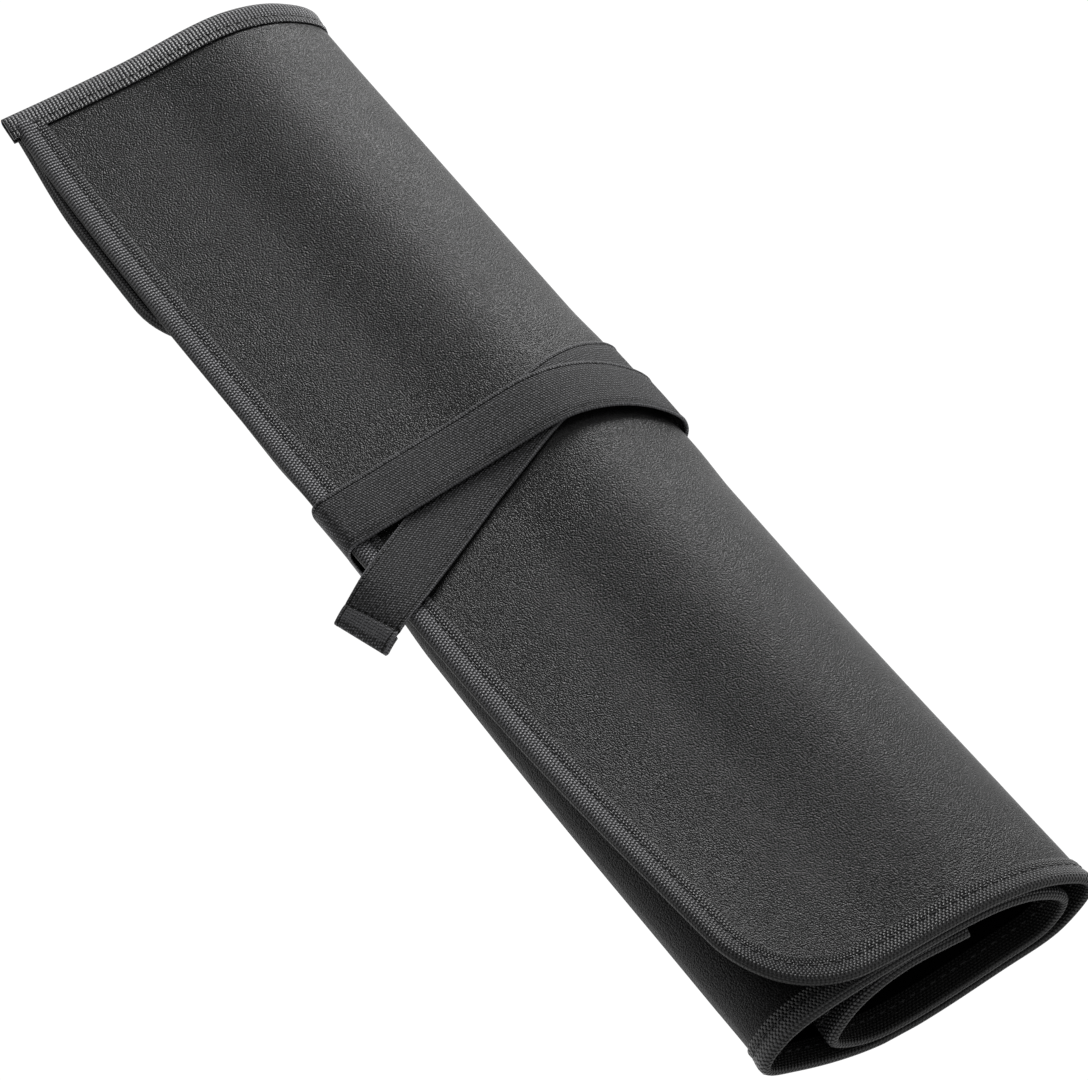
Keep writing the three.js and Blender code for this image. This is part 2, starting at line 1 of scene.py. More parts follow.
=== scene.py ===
# %% [markdown]
# # A tool bag of imitation leather, rolled up and strapped
#
# The real bag is one flat sheet: imitation leather outside, a thin lining inside, and woven tape
# folded round the edges. It lies rolled up flat, and an elastic strap goes round it twice.
# A modeller could lay each visible fold by hand, but then the layers would never agree. So every
# cloth piece starts here as a flat grid, cut to the size of the real one, and one function rolls
# it up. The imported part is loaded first, as the fixed frame that all of it has to fit.

# %% Load the frame
import math

import bmesh
import bpy
import numpy as np
from mathutils import Matrix, Vector


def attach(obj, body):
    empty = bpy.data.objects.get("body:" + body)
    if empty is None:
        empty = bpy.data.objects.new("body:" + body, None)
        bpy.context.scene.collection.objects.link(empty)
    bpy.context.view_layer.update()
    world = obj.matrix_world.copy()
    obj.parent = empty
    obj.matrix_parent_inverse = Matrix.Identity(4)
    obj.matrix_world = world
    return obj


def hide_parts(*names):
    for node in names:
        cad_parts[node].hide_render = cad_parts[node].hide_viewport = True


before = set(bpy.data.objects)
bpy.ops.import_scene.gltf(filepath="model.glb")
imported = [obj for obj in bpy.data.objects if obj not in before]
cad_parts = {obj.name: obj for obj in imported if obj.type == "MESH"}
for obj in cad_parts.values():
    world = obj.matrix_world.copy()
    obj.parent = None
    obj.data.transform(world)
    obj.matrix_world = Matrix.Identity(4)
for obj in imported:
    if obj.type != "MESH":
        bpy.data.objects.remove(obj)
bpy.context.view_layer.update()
print("nodes of the part:", ", ".join(sorted(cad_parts)))

# %% [markdown]
# ## Camera
#
# The product shot was taken from far off with a long lens, so the roll's long edges stay almost
# parallel. The camera stands where those edges put it: turned 57 degrees towards the near end
# and about 50 degrees above the floor.

# %% Camera
VIEW_AZIMUTH = math.radians(57)
VIEW_ELEVATION = math.radians(50.5)
VIEW_DISTANCE = 2.5
FOCAL_LENGTH = 231.6
SENSOR_WIDTH = 36
MM = 0.001
ORIGIN_SHIFT = np.array([0.0, 19.2597, 0.0237])
TARGET_DROP = 4.0

camera_data = bpy.data.cameras.new("camera")
camera_data.lens = FOCAL_LENGTH
camera_data.sensor_width = SENSOR_WIDTH
camera_data.clip_start = 0.1
camera = bpy.data.objects.new("camera", camera_data)
bpy.context.scene.collection.objects.link(camera)
to_camera = Vector((
    math.sin(VIEW_AZIMUTH) * math.cos(VIEW_ELEVATION),
    -math.cos(VIEW_AZIMUTH) * math.cos(VIEW_ELEVATION),
    math.sin(VIEW_ELEVATION),
))
target = Vector((0, ORIGIN_SHIFT[1] * MM, -TARGET_DROP * MM))
camera.location = target + to_camera * VIEW_DISTANCE
camera.rotation_euler = to_camera.to_track_quat("Z", "Y").to_euler()
bpy.context.scene.camera = camera
print("camera at", [round(v, 3) for v in camera.location])

# %% [markdown]
# ## The rolled section
#
# Cut across, the roll is a flattened spiral of two turns. The table names the bends of one turn:
# where each lies, as shares of half the width and of the thickness, at the far and the near end.
# The next turn lies one sheet further in, plus some slack. A smooth curve through these knots is
# the sheet's middle line. Everything is in millimetres here and becomes metres at the end.

# %% Sizes of the bag
LENGTH, WIDTH = 500.0, 132.0
FAR_THICKNESS, NEAR_THICKNESS = 36.0, 49.6
FLAP_REACH, FLAP_BOW, FLAP_SETBACK, BRIM_CURL = 73.5, 6.0, 3.6, 4.5
LEATHER, LINING, TAPE, TAPE_WIDTH = 1.0, 1.0, 0.8, 11.0
CLEARANCE, TURN_SPARE = 0.3, 0.8
CORNER_RADIUS, INNER_REACH = 38.0, 72.0
COVER, COVER_LENGTH, COVER_OVERHANG, COVER_CORNER_RADIUS = 1.2, 145.0, 3.0, 40.0
STRAP_WIDTH, STRAP, STRAP_CLEARANCE, STRAP_PLACE = 24.0, 1.5, 0.4, -18.0
HALF_LENGTH, HALF_WIDTH = LENGTH / 2, WIDTH / 2
INNER_DEPTH = LEATHER / 2 + CLEARANCE + max(LINING, TAPE)
OUTER_TAPE = LEATHER / 2 + CLEARANCE + TAPE
TURN_PITCH = OUTER_TAPE + INNER_DEPTH + TURN_SPARE
COVER_STACK = COVER + 2 * (CLEARANCE + TAPE) + CLEARANCE
COVER_LEVEL = -INNER_DEPTH - CLEARANCE - TAPE - CLEARANCE - COVER / 2
EDGE_INSET = TAPE + CLEARANCE
LINING_INSET = TAPE_WIDTH + CLEARANCE
STRAP_PITCH = STRAP + STRAP_CLEARANCE
ON_LEATHER = LEATHER / 2 + STRAP_CLEARANCE
ON_TAPE = OUTER_TAPE + STRAP_CLEARANCE

# name, outward direction, across (far, near), height (far, near), slack far (across, height), near
TURN = [
    ("flap brim", 90, (-0.86, -0.88), (1.0, 1.03), (0, 0), (0.1, 0)),
    ("flap front", 90, (-0.38, -0.4), (1.02, 0.995), (0.04, -0.05), (0.05, -0.02)),
    ("flap back", 90, (0.27, 0.29), (1.09, 0.995), (0, -0.06), (0, -0.01)),
    ("back high", 45, (0.64, 0.67), (0.83, 0.83), (-0.02, -0.02), (-0.05, -0.02)),
    ("back tip", 0, (0.86, 0.885), (0.39, 0.55), (-0.03, 0), (-0.1, -0.02)),
    ("back low", -60, (0.7, 0.71), (0.06, 0.24), (-0.02, 0.02), (-0.05, 0)),
    ("bottom back", -90, (0.35, 0.35), (0, 0.12), (0, 0), (0, 0)),
    ("bottom front", -90, (-0.42, -0.39), (0, 0), (0, 0), (0, 0)),
    ("front low", -135, (-0.84, -0.93), (0.07, 0.25), (0.04, -0.02), (0.26, -0.1)),
    ("front tip", 180, (-0.985, -1.115), (0.3, 0.43), (0.02, -0.01), (0.35, -0.1)),
    ("front high", 135, (-0.88, -0.98), (0.56, 0.7), (0.02, 0.08), (0.37, -0.02)),
]
ROW = {row[0]: i for i, row in enumerate(TURN)}
LAST_KNOT = 2 * len(TURN) + 1
print(f"the section has {LAST_KNOT + 1} knots in two turns")

# %% [markdown]
# The section changes along the roll. The bottom is lifted where the strap and the bound ends pass
# under it, the flap's edge bows a little and is set back near its rounded corner, and the near
# end opens. A smooth step from 0 to 1 blends each change in, so that no crease shows.

# %% Knots of the section
STRAP_SPREAD, LIFT_FADE = 1.15, 26.0
SETBACK_FROM, SETBACK_RUN = 0.62, 0.33
OPENING_FROM, OPENING_RUN = 0.66, 0.34
ROOM_BEYOND_COVER, ROOM_FADE = 4.0, 40.0
TUCK_SHARE = 0.4


def smooth(share):
    """A smooth step from 0 to 1."""
    s = np.clip(share, 0, 1)
    return s * s * (3 - 2 * s)


def lift(x):
    """How far the bottom is lifted over the strap's strands and over a bound end."""
    from_strap = np.abs(x - STRAP_PLACE) - STRAP_WIDTH * STRAP_SPREAD
    over_strap = 2 * STRAP_PITCH * (1 - smooth(from_strap / LIFT_FADE))
    to_tape = HALF_LENGTH - TAPE_WIDTH - np.abs(x)
    return np.maximum(over_strap, EDGE_INSET * smooth(1 - to_tape / LIFT_FADE))


def flap_edge(x):
    """Where the flap's free edge lies across the roll."""
    share = x / LENGTH + 0.5
    bow = FLAP_BOW * (1 - (2 * share - 1) ** 4)
    return FLAP_SETBACK * smooth((share - SETBACK_FROM) / SETBACK_RUN) - bow - FLAP_REACH


def knots_at(x):
    """The section's knots at each place x, as an array of places, knots and (across, height)."""
    share = x / LENGTH + 0.5
    opening = smooth((share - OPENING_FROM) / OPENING_RUN)
    floor = LEATHER / 2 + lift(x)
    roof = FAR_THICKNESS + (NEAR_THICKNESS - FAR_THICKNESS) * share - OUTER_TAPE
    past_cover = x + HALF_LENGTH - COVER_LENGTH - ROOM_BEYOND_COVER
    pitch = TURN_PITCH + COVER_STACK * (1 - smooth(past_cover / ROOM_FADE))
    outer, inner = [], []
    for name, out, across, height, far_slack, near_slack in TURN:
        y = HALF_WIDTH * (across[0] + (across[1] - across[0]) * share)
        z = floor + (roof - floor) * (height[0] + (height[1] - height[0]) * opening)
        dy = HALF_WIDTH * (far_slack[0] + (near_slack[0] - far_slack[0]) * share)
        dz = (roof - floor) * (far_slack[1] + (near_slack[1] - far_slack[1]) * opening)
        outer.append((y, z))
        facing = math.radians(out)
        inner.append((y + dy - pitch * math.cos(facing), z + dz - pitch * math.sin(facing)))
    tuck_end = outer[-1][0] + INNER_REACH
    tuck_height = inner[ROW["flap front"]][1] - TURN_PITCH - TURN_SPARE
    tuck_bend = inner[-1][0] + TUCK_SHARE * (tuck_end - inner[-1][0])
    knots = [
        (flap_edge(x), roof + BRIM_CURL * opening), *outer, *inner[1:],
        (tuck_bend, tuck_height), (tuck_end, tuck_height),
    ]
    return np.stack([np.stack([y + 0 * x, z + 0 * x], -1) for y, z in knots], 1)


# %% [markdown]
# The curve through the knots is a centripetal Catmull-Rom spline, the kind that never loops
# between close knots. It is worked out for many places along the roll at once, and sampled finely
# enough that the folds look round. Where it would dip under the surface that the bag lies on, it
# is laid flat on it.

# %% A spline through the knots
SAMPLES_PER_KNOT = 20


def spline_through(knots):
    """Samples of the centripetal spline through each row of knots."""
    before = 2 * knots[:, :1] - knots[:, 1:2]
    after = 2 * knots[:, -1:] - knots[:, -2:-1]
    p = np.concatenate([before, knots, after], 1)
    p0, p1, p2, p3 = p[:, :-3], p[:, 1:-2], p[:, 2:-1], p[:, 3:]
    step = np.sqrt(np.linalg.norm(np.diff(p, axis=1), axis=-1, keepdims=True))
    d0, d1, d2 = step[:, :-2], step[:, 1:-1], step[:, 2:]
    t1 = ((p1 - p0) / d0 - (p2 - p0) / (d0 + d1) + (p2 - p1) / d1) * d1
    t2 = ((p2 - p1) / d1 - (p3 - p1) / (d1 + d2) + (p3 - p2) / d2) * d1
    s = np.arange(SAMPLES_PER_KNOT)[None, None, :, None] / SAMPLES_PER_KNOT
    p1, p2, t1, t2 = (v[:, :, None] for v in (p1, p2, t1, t2))
    c2, c3 = 3 * (p2 - p1) - 2 * t1 - t2, 2 * (p1 - p2) + t1 + t2
    curve = p1 + s * (t1 + s * (c2 + s * c3))
    curve = curve.reshape(len(knots), -1, 2)
    return np.concatenate([curve, knots[:, -1:]], 1)


class Sections:
    """The roll's sections at many places, with the distance along each and its tangents."""

    def __init__(self, x):
        self.points = spline_through(knots_at(x))
        lowest = (LEATHER / 2 + lift(x))[:, None]
        self.points[..., 1] = np.maximum(self.points[..., 1], lowest)
        steps = np.linalg.norm(np.diff(self.points, axis=1), axis=-1)
        self.distances = np.concatenate([np.zeros((len(x), 1)), np.cumsum(steps, 1)], 1)
        self.knot_distances = self.distances[:, ::SAMPLES_PER_KNOT]
        self.tangents = np.gradient(self.points, axis=1)
        self.tangents /= np.linalg.norm(self.tangents, axis=-1, keepdims=True)


# %% [markdown]
# Many points share a place along the roll, and a section is dear to work out. So the places are
# sorted first, and each section is made once for all the points that lie on it.

# %% Distances along the sheet
SECTIONS_AT_ONCE = 1500


def in_chunks(x, work):
    """Runs work on the different values of x, a chunk at a time: each section is made once."""
    places, which = np.unique(np.round(x, 3), return_inverse=True)
    for start in range(0, len(places), SECTIONS_AT_ONCE):
        here = np.nonzero((which >= start) & (which < start + SECTIONS_AT_ONCE))[0]
        work(Sections(places[start:start + SECTIONS_AT_ONCE]), here, which[here] - start)


def knot_distance(x, knot):
    """The distance along the sheet at a knot, whole or between two, at each place."""
    x, knot = np.broadcast_arrays(np.asarray(x, float), np.asarray(knot, float))
    result = np.zeros(x.shape).ravel()
    flat_knots = knot.ravel()

    def work(sections, here, row):
        low = np.minimum(flat_knots[here].astype(int), LAST_KNOT - 1)
        share = flat_knots[here] - low
        table = sections.knot_distances
        result[here] = table[row, low] * (1 - share) + table[row, low + 1] * share

    in_chunks(x.ravel(), work)
    return result.reshape(x.shape)


def length_along(points):
    """The length from the first of a row of points to each of them."""
    return np.concatenate([[0], np.cumsum(np.linalg.norm(np.diff(points, axis=0), axis=-1))])


print(f"the sheet is {float(knot_distance(0, LAST_KNOT)):.0f} mm long at the middle of the roll")

# %% [markdown]
# The next function is the heart of the model. It takes points of the flat sheet, as a distance
# from the flap's edge and a place along the roll, and a level above or below the sheet's middle,
# and gives their place on the rolled bag. Leather, lining, tape, stitches and strap all go
# through it, so they always lie on each other as sewn cloth does.

# %% Roll up flat points
def roll_up(distance, x, level):
    """Places on the rolled bag, in millimetres, of points of the flat sheet."""
    distance, x, level = np.broadcast_arrays(*(np.asarray(v, float) for v in (distance, x, level)))
    shape = distance.shape
    distance, x, level = distance.ravel(), x.ravel(), level.ravel()
    result = np.zeros((len(x), 3))

    def work(sections, here, row):
        table = sections.distances
        width = table.shape[1]
        apart = table[:, -1].max() + 1000
        keys = (table + np.arange(len(table))[:, None] * apart).ravel()
        asked = np.clip(distance[here], 0, table[row, -1]) + row * apart
        index = np.clip(np.searchsorted(keys, asked) - 1, row * width, row * width + width - 2)
        points = sections.points.reshape(-1, 2)
        tangents = sections.tangents.reshape(-1, 2)
        lengths = table.ravel()
        share = ((distance[here] - lengths[index]) / (lengths[index + 1] - lengths[index]))[:, None]
        at = points[index] * (1 - share) + points[index + 1] * share
        within = np.clip(share, 0, 1)
        along = tangents[index] * (1 - within) + tangents[index + 1] * within
        along /= np.linalg.norm(along, axis=-1, keepdims=True)
        result[here, 0] = x[here]
        result[here, 1] = at[:, 0] - along[:, 1] * level[here]
        result[here, 2] = at[:, 1] + along[:, 0] * level[here]

    in_chunks(x, work)
    return result.reshape(*shape, 3)


# %% [markdown]
# Each cloth is a plain grid whose points are moved to their rolled-up places. The flat places go
# with it as a map, named cloth, for the grain and the weave. A Solidify modifier gives the cloth
# its thickness, half to each side.

# %% Grids of cloth
def new_piece(name, bm):
    """Makes a smooth piece of a bmesh and puts it in the scene."""
    for face in bm.faces:
        face.smooth = True
    mesh = bpy.data.meshes.new(name)
    bm.to_mesh(mesh)
    bm.free()
    piece = bpy.data.objects.new(name, mesh)
    bpy.context.scene.collection.objects.link(piece)
    return piece


def cloth_grid(name, places, uvs, thickness):
    """A grid whose vertices lie at an array of rows and columns of places, in millimetres."""
    rows, columns = places.shape[:2]
    bm = bmesh.new()
    bmesh.ops.create_grid(bm, x_segments=columns - 1, y_segments=rows - 1, size=1)
    places = (places + ORIGIN_SHIFT) * MM
    bm.verts.ensure_lookup_table()
    flat_x = np.array([v.co.x for v in bm.verts])
    flat_y = np.array([v.co.y for v in bm.verts])
    column = np.rint((flat_x + 1) / 2 * (columns - 1)).astype(int)
    row = np.rint((flat_y + 1) / 2 * (rows - 1)).astype(int)
    for v, i, j in zip(bm.verts, row, column):
        v.co = places[i, j]
        v.index = i * columns + j
    layer = bm.loops.layers.uv.new("cloth")
    flat_map = uvs.reshape(-1, 2) * MM
    for face in bm.faces:
        for loop in face.loops:
            loop[layer].uv = flat_map[loop.vert.index]
    piece = new_piece(name, bm)
    solid = piece.modifiers.new("thickness", "SOLIDIFY")
    solid.thickness = thickness * MM
    solid.offset = 0
    solid.use_even_offset = True
    print(f"{name}: {rows} by {columns} points, {thickness} mm thick")
    return piece


# %% [markdown]
# ## Imitation leather
#
# The outer face is one soft sheet, 1 mm thick. Its grid has rows along the roll, closer together
# in the folds, and its flap has one rounded corner: there each row is shortened to the corner's
# arc. The map of the flat sheet goes with it, so that the grain keeps its size all over.

# %% The leather sheet
CORNER_STEP = 4.5


def sheet_points(inset, columns, row_step):
    """The flat sheet set in from its bound outline: distances and places by row and column."""
    x_start, x_end = -HALF_LENGTH + inset, HALF_LENGTH - inset
    inside = columns[(columns > x_start + 1) & (columns < x_end - 1)]
    columns = np.concatenate([[x_start], inside, [x_end]])
    radius = CORNER_RADIUS - inset
    rows_distance, rows_x = [], []
    for angle in np.radians(np.arange(0, 90, CORNER_STEP)):
        reach = x_end - radius + radius * math.sin(angle)
        x = x_start + (columns - x_start) * (reach - x_start) / (x_end - x_start)
        rows_x.append(x)
        rows_distance.append(np.full_like(x, inset + radius * (1 - math.cos(angle))))
    last_corner = rows_distance[-1][0]
    first = np.maximum(knot_distance(columns, 2), last_corner + 1)
    bridge = max(1, round(float((first - last_corner).mean()) / row_step))
    for i in range(1, bridge + 1):
        rows_x.append(columns)
        rows_distance.append(last_corner + (first - last_corner) * i / bridge)
    middle = knot_distance(0.0, np.arange(LAST_KNOT + 1.0))
    for knot in range(2, LAST_KNOT):
        count = max(2, round((middle[knot + 1] - middle[knot]) / row_step))
        for i in range(1, count + 1):
            distance = knot_distance(columns, knot + i / count)
            if knot == LAST_KNOT - 1:
                distance = distance - inset * i / count
            rows_x.append(columns)
            rows_distance.append(distance)
    return np.array(rows_distance), np.array(rows_x)


leather_columns = np.linspace(-HALF_LENGTH, HALF_LENGTH, 126)
leather_distance, leather_x = sheet_points(EDGE_INSET, leather_columns, row_step=2.6)
leather = cloth_grid(
    "leather_sheet",
    roll_up(leather_distance, leather_x, 0.0),
    np.stack([leather_x, leather_distance], -1),
    LEATHER,
)

# %% [markdown]
# ## Lining
#
# The inside is covered with a thin, smooth, dull fabric. It is the same sheet again, one level
# further in and smaller all round. Its edge lies hidden between the leather and the tape.

# %% The lining
LINING_CLOTH, LINING_LEVEL, LINING_UNDER_TAPE = 0.5, 0.35, 6.0
lining_columns = np.linspace(-HALF_LENGTH, HALF_LENGTH, 84)
lining_distance, lining_x = sheet_points(LINING_INSET - LINING_UNDER_TAPE, lining_columns, row_step=3.4)
lining = cloth_grid(
    "lining_sheet",
    roll_up(lining_distance, lining_x, -LEATHER / 2 - LINING_LEVEL),
    np.stack([lining_x, lining_distance], -1),
    LINING_CLOTH,
)

# %% [markdown]
# ## Woven binding tape
#
# A flat tape is folded over each raw edge and sewn through. In section it is a U with a round
# rim. The seam pulls its outer leg down, and between the seam and the rim the tape stands up in
# a soft crown. The section is swept along the edge: the same grid again, with its rows along the
# tape and its columns round the U. Its map counts millimetres along and across the tape, which
# the weave follows later.

# %% The tape's section
TAPE_STOPS = np.array([0, 0.5, 1.2, 2.1, 2.8, 3.4, 4.0, 4.8, 5.8, 6.9, 8.0, 9.0])
TAPE_CROWN = np.array([-0.5, -0.22, -0.06, -0.06, -0.13, -0.2, -0.1, 0.1, 0.3, 0.46, 0.55, 0.5, 0.2])
RIM_STEPS = 9


def tape_profile(half, leg=TAPE_WIDTH, middle=0.0):
    """Depth in from the rim, level and distance across, round the middle of the folded tape."""
    radius = half + CLEARANCE + TAPE / 2
    out = leg - np.append(TAPE_STOPS, leg - TAPE / 2 - radius)
    turn = np.radians(np.linspace(90, -90, RIM_STEPS))[1:-1]
    rim = np.stack([TAPE / 2 + radius * (1 - np.cos(turn)), radius * np.sin(turn)], -1)
    upper = np.stack([out, radius + TAPE_CROWN], -1)
    lower = np.stack([out[::-1], np.full(len(out), -radius)], -1)
    profile = np.concatenate([upper, rim, lower])
    return profile[:, 0], profile[:, 1] + middle, length_along(profile)


def swept_tape(name, stations, profile):
    """A tape swept along stations, each a function of depth that gives distance and place."""
    depth, level, across = profile
    flat = np.array([[station(d) for d in depth] for station in stations])
    places = roll_up(flat[..., 0], flat[..., 1], level[None, :])
    places[..., 2] = np.maximum(places[..., 2], TAPE / 2)
    along = length_along(places[:, len(depth) // 2])
    uvs = np.stack(np.broadcast_arrays(along[:, None], across[None, :]), -1)
    print(f"{name}: {along[-1]:.0f} mm long")
    return cloth_grid(name, places, uvs, TAPE)


# %% [markdown]
# A station is a cut through the tape. Along a bound end of the roll the stations follow the
# section from knot to knot, and round the flap's corner they fan out on its arc. Along the flap
# they stand side by side.

# %% Tape round the near end and along the flap
END_STEP = 2.2
TAPE_DEPTHS = np.linspace(0, TAPE_WIDTH, 8)


def end_stations(side, first_knot, last_knot):
    """Stations along a bound end. The distance at a knot is read off once for each depth."""
    middle = knot_distance(side * HALF_LENGTH, np.arange(LAST_KNOT + 1.0))
    knots = []
    for knot in range(first_knot, last_knot):
        count = max(2, round((middle[knot + 1] - middle[knot]) / END_STEP))
        knots.extend(knot + np.arange(count) / count)
    knots = np.array([*knots, last_knot])
    table = knot_distance(side * (HALF_LENGTH - TAPE_DEPTHS)[:, None], knots[None, :])

    def at(i):
        return lambda depth: (float(np.interp(depth, TAPE_DEPTHS, table[:, i])), side * (HALF_LENGTH - depth))

    return [at(i) for i in range(len(knots))], table[0]


def corner_station(angle, radius=CORNER_RADIUS, x_end=HALF_LENGTH, offset=0.0):
    """The station at an angle of a rounded corner."""
    def at(depth):
        inner = radius - depth
        return radius - offset - inner * math.cos(angle), x_end - radius + inner * math.sin(angle)

    return at


near_end, _ = end_stations(1, 2, LAST_KNOT)
corner = [corner_station(math.radians(a)) for a in np.arange(88, 0, -3.5)]
front_x = np.linspace(HALF_LENGTH - CORNER_RADIUS, -HALF_LENGTH + TAPE_WIDTH / 2, 150)
front = [lambda depth, x=x: (depth, x) for x in front_x]
edge_stations = near_end[::-1] + corner + front
edge_tape = swept_tape("edge_tape", edge_stations, tape_profile(LEATHER / 2))

# %% [markdown]
# The far end's tape is cut square at the flap's front, where it stands out a little past the
# other tape. It is a touch wider too, since it is folded over the thinner end of the roll.

# %% Tape round the far end
FAR_TAPE_OVERRUN, FAR_TAPE_EXTRA = 2.6, 0.6
far_end, far_knots = end_stations(-1, 2, LAST_KNOT)
far_start = np.linspace(-FAR_TAPE_OVERRUN, far_knots[0], 16)[:-1]
far_front = [lambda depth, s=s: (s, -HALF_LENGTH + depth) for s in far_start]
far_stations = far_front + far_end
far_tape = swept_tape(
    "far_end_tape", far_stations, tape_profile(LEATHER / 2, leg=TAPE_WIDTH + FAR_TAPE_EXTRA),
)

# %% [markdown]
# The sheet's other long edge is bound too, and lies tucked inside the roll. Only its end shows,
# in the open near end.

# %% Tape on the tucked inner edge
inner_x = np.linspace(-HALF_LENGTH + LINING_INSET, HALF_LENGTH - LINING_INSET, 120)
inner_total = knot_distance(inner_x, LAST_KNOT)
inner_stations = [lambda depth, x=x, t=t: (t - depth, x) for x, t in zip(inner_x, inner_total)]
inner_tape = swept_tape("inner_edge_tape", inner_stations, tape_profile(LEATHER / 2))

# %% [markdown]
# ## Inner cover
#
# Near the far end a small flap of the same leather, with its own bound edge, peeps out from under
# the outer flap. It is a second, smaller sheet, rolled up on a level further in.

# %% The inner cover
COVER_START = -HALF_LENGTH + EDGE_INSET
COVER_END = -HALF_LENGTH + COVER_LENGTH
COVER_ROOT = ROW["bottom front"] + 1
COVER_SWELL = 0.42
COVER_CORNER_STEP, COVER_KNOT_STEP = 5, 0.125


def cover_overhang(x):
    """How far the cover's edge peeps out from under the flap's edge."""
    return COVER_OVERHANG * smooth((x - COVER_START) / (COVER_LENGTH * COVER_SWELL))


def cover_points(inset):
    """The flat cover set in from its bound outline: distances and places by row and column."""
    columns = np.linspace(0, 1, 44)
    x_end = COVER_END - inset
    radius = COVER_CORNER_RADIUS - inset
    rows_distance, rows_x = [], []
    for angle in np.radians(np.arange(0, 90, COVER_CORNER_STEP)):
        reach = x_end - radius + radius * math.sin(angle)
        x = COVER_START + (reach - COVER_START) * columns
        rows_x.append(x)
        rows_distance.append(inset + radius * (1 - math.cos(angle)) - cover_overhang(x))
    x = COVER_START + (x_end - COVER_START) * columns
    last = rows_distance[-1]
    for knot in np.arange(2, COVER_ROOT + 0.01, COVER_KNOT_STEP):
        distance = knot_distance(x, knot)
        if (distance > last + 0.5).all():
            rows_x.append(x)
            rows_distance.append(distance)
    return np.array(rows_distance), np.array(rows_x)


cover_distance, cover_x = cover_points(EDGE_INSET)
cover = cloth_grid(
    "cover_sheet",
    roll_up(cover_distance, cover_x, COVER_LEVEL),
    np.stack([cover_x, cover_distance], -1),
    COVER,
)

# %% [markdown]
# The cover's tape runs from the bottom of the roll up its end, round its corner and along its
# front edge.

# %% Tape of the inner cover
cover_knots = np.arange(COVER_ROOT, 1.99, -0.1)
cover_table = knot_distance((COVER_END - TAPE_DEPTHS)[:, None], cover_knots[None, :])


def cover_end_station(i):
    """The station at a knot of the cover's end."""
    return lambda depth: (float(np.interp(depth, TAPE_DEPTHS, cover_table[:, i])), COVER_END - depth)


def cover_front_station(x):
    """The station at a place of the cover's front edge."""
    return lambda depth: (depth - float(cover_overhang(x)), x)


cover_stations = [cover_end_station(i) for i in range(len(cover_knots))]
cover_stations += [
    corner_station(math.radians(a), COVER_CORNER_RADIUS, COVER_END, COVER_OVERHANG)
    for a in np.arange(88, 0, -COVER_CORNER_STEP)
]
cover_front_x = np.linspace(COVER_END - COVER_CORNER_RADIUS, COVER_START, 36)
cover_stations += [cover_front_station(x) for x in cover_front_x]
cover_tape = swept_tape("cover_tape", cover_stations, tape_profile(COVER / 2, middle=COVER_LEVEL))

# %% [markdown]
# ## Seams
#
# Black thread holds each tape. Every stitch is a short, thin bead of thread that lies in the
# tape's groove between two needle holes. One small ball, stretched, does for all of them. Its
# three axes are right-handed, because a left-handed set would turn the ball inside out.

# %% Stitches
STITCH_PITCH, STITCH_LENGTH, STITCH_INSET = 4.2, 4.0, 3.4
THREAD, THREAD_FLATNESS = 0.34, 0.7
GROOVE = 0.1


def stitches(name, line, above, pitch=STITCH_PITCH, length=STITCH_LENGTH):
    """Stitches along a line of points, with the points above it that show which way is out."""
    run = length_along(line)

    def point(points, where):
        return np.array([np.interp(where, run, points[:, i]) for i in range(3)])

    bm = bmesh.new()
    middles = np.arange(pitch / 2, run[-1], pitch)
    for middle in middles:
        at = point(line, middle)
        way = Vector(point(line, middle + pitch / 2) - point(line, middle - pitch / 2)).normalized()
        out = Vector(point(above, middle) - at).normalized()
        side = out.cross(way).normalized()
        axes = Matrix((way * THREAD * length, side * THREAD, out * THREAD * THREAD_FLATNESS))
        turn = axes.transposed().to_4x4() * MM
        turn.translation = Vector(at + ORIGIN_SHIFT) * MM
        turn[3][3] = 1
        bmesh.ops.create_uvsphere(bm, u_segments=6, v_segments=5, radius=1, matrix=turn)
    print(f"{name}: {len(middles)} stitches")
    return new_piece(name, bm)


def tape_stitches(name, stations, surface, width=TAPE_WIDTH):
    """Stitches along the stations of a tape, one inset from its inner edge."""
    flat = np.array([station(width - STITCH_INSET) for station in stations])
    line = roll_up(flat[:, 0], flat[:, 1], surface)
    return stitches(name, line, roll_up(flat[:, 0], flat[:, 1], surface + 1.0))


edge_seams = [
    tape_stitches("edge_stitches", edge_stations, OUTER_TAPE - GROOVE),
    tape_stitches("edge_stitches_inside", edge_stations, -OUTER_TAPE),
    tape_stitches("far_end_stitches", far_stations, OUTER_TAPE - GROOVE, TAPE_WIDTH + FAR_TAPE_EXTRA),
    tape_stitches("far_end_stitches_inside", far_stations, -OUTER_TAPE, TAPE_WIDTH + FAR_TAPE_EXTRA),
    tape_stitches("inner_stitches", inner_stations, OUTER_TAPE - GROOVE),
]
cover_seam = tape_stitches(
    "cover_stitches", cover_stations, COVER_LEVEL + COVER / 2 + CLEARANCE + TAPE - GROOVE,
)

# %% [markdown]
# ## Elastic strap
#
# One band of knitted elastic goes round the roll twice, and its doubled end sticks out past the
# flap. Its route is a short table: at each named bend, how far along the roll the strap lies, in
# strap widths, and whether it rides on the leather or on its other strand.

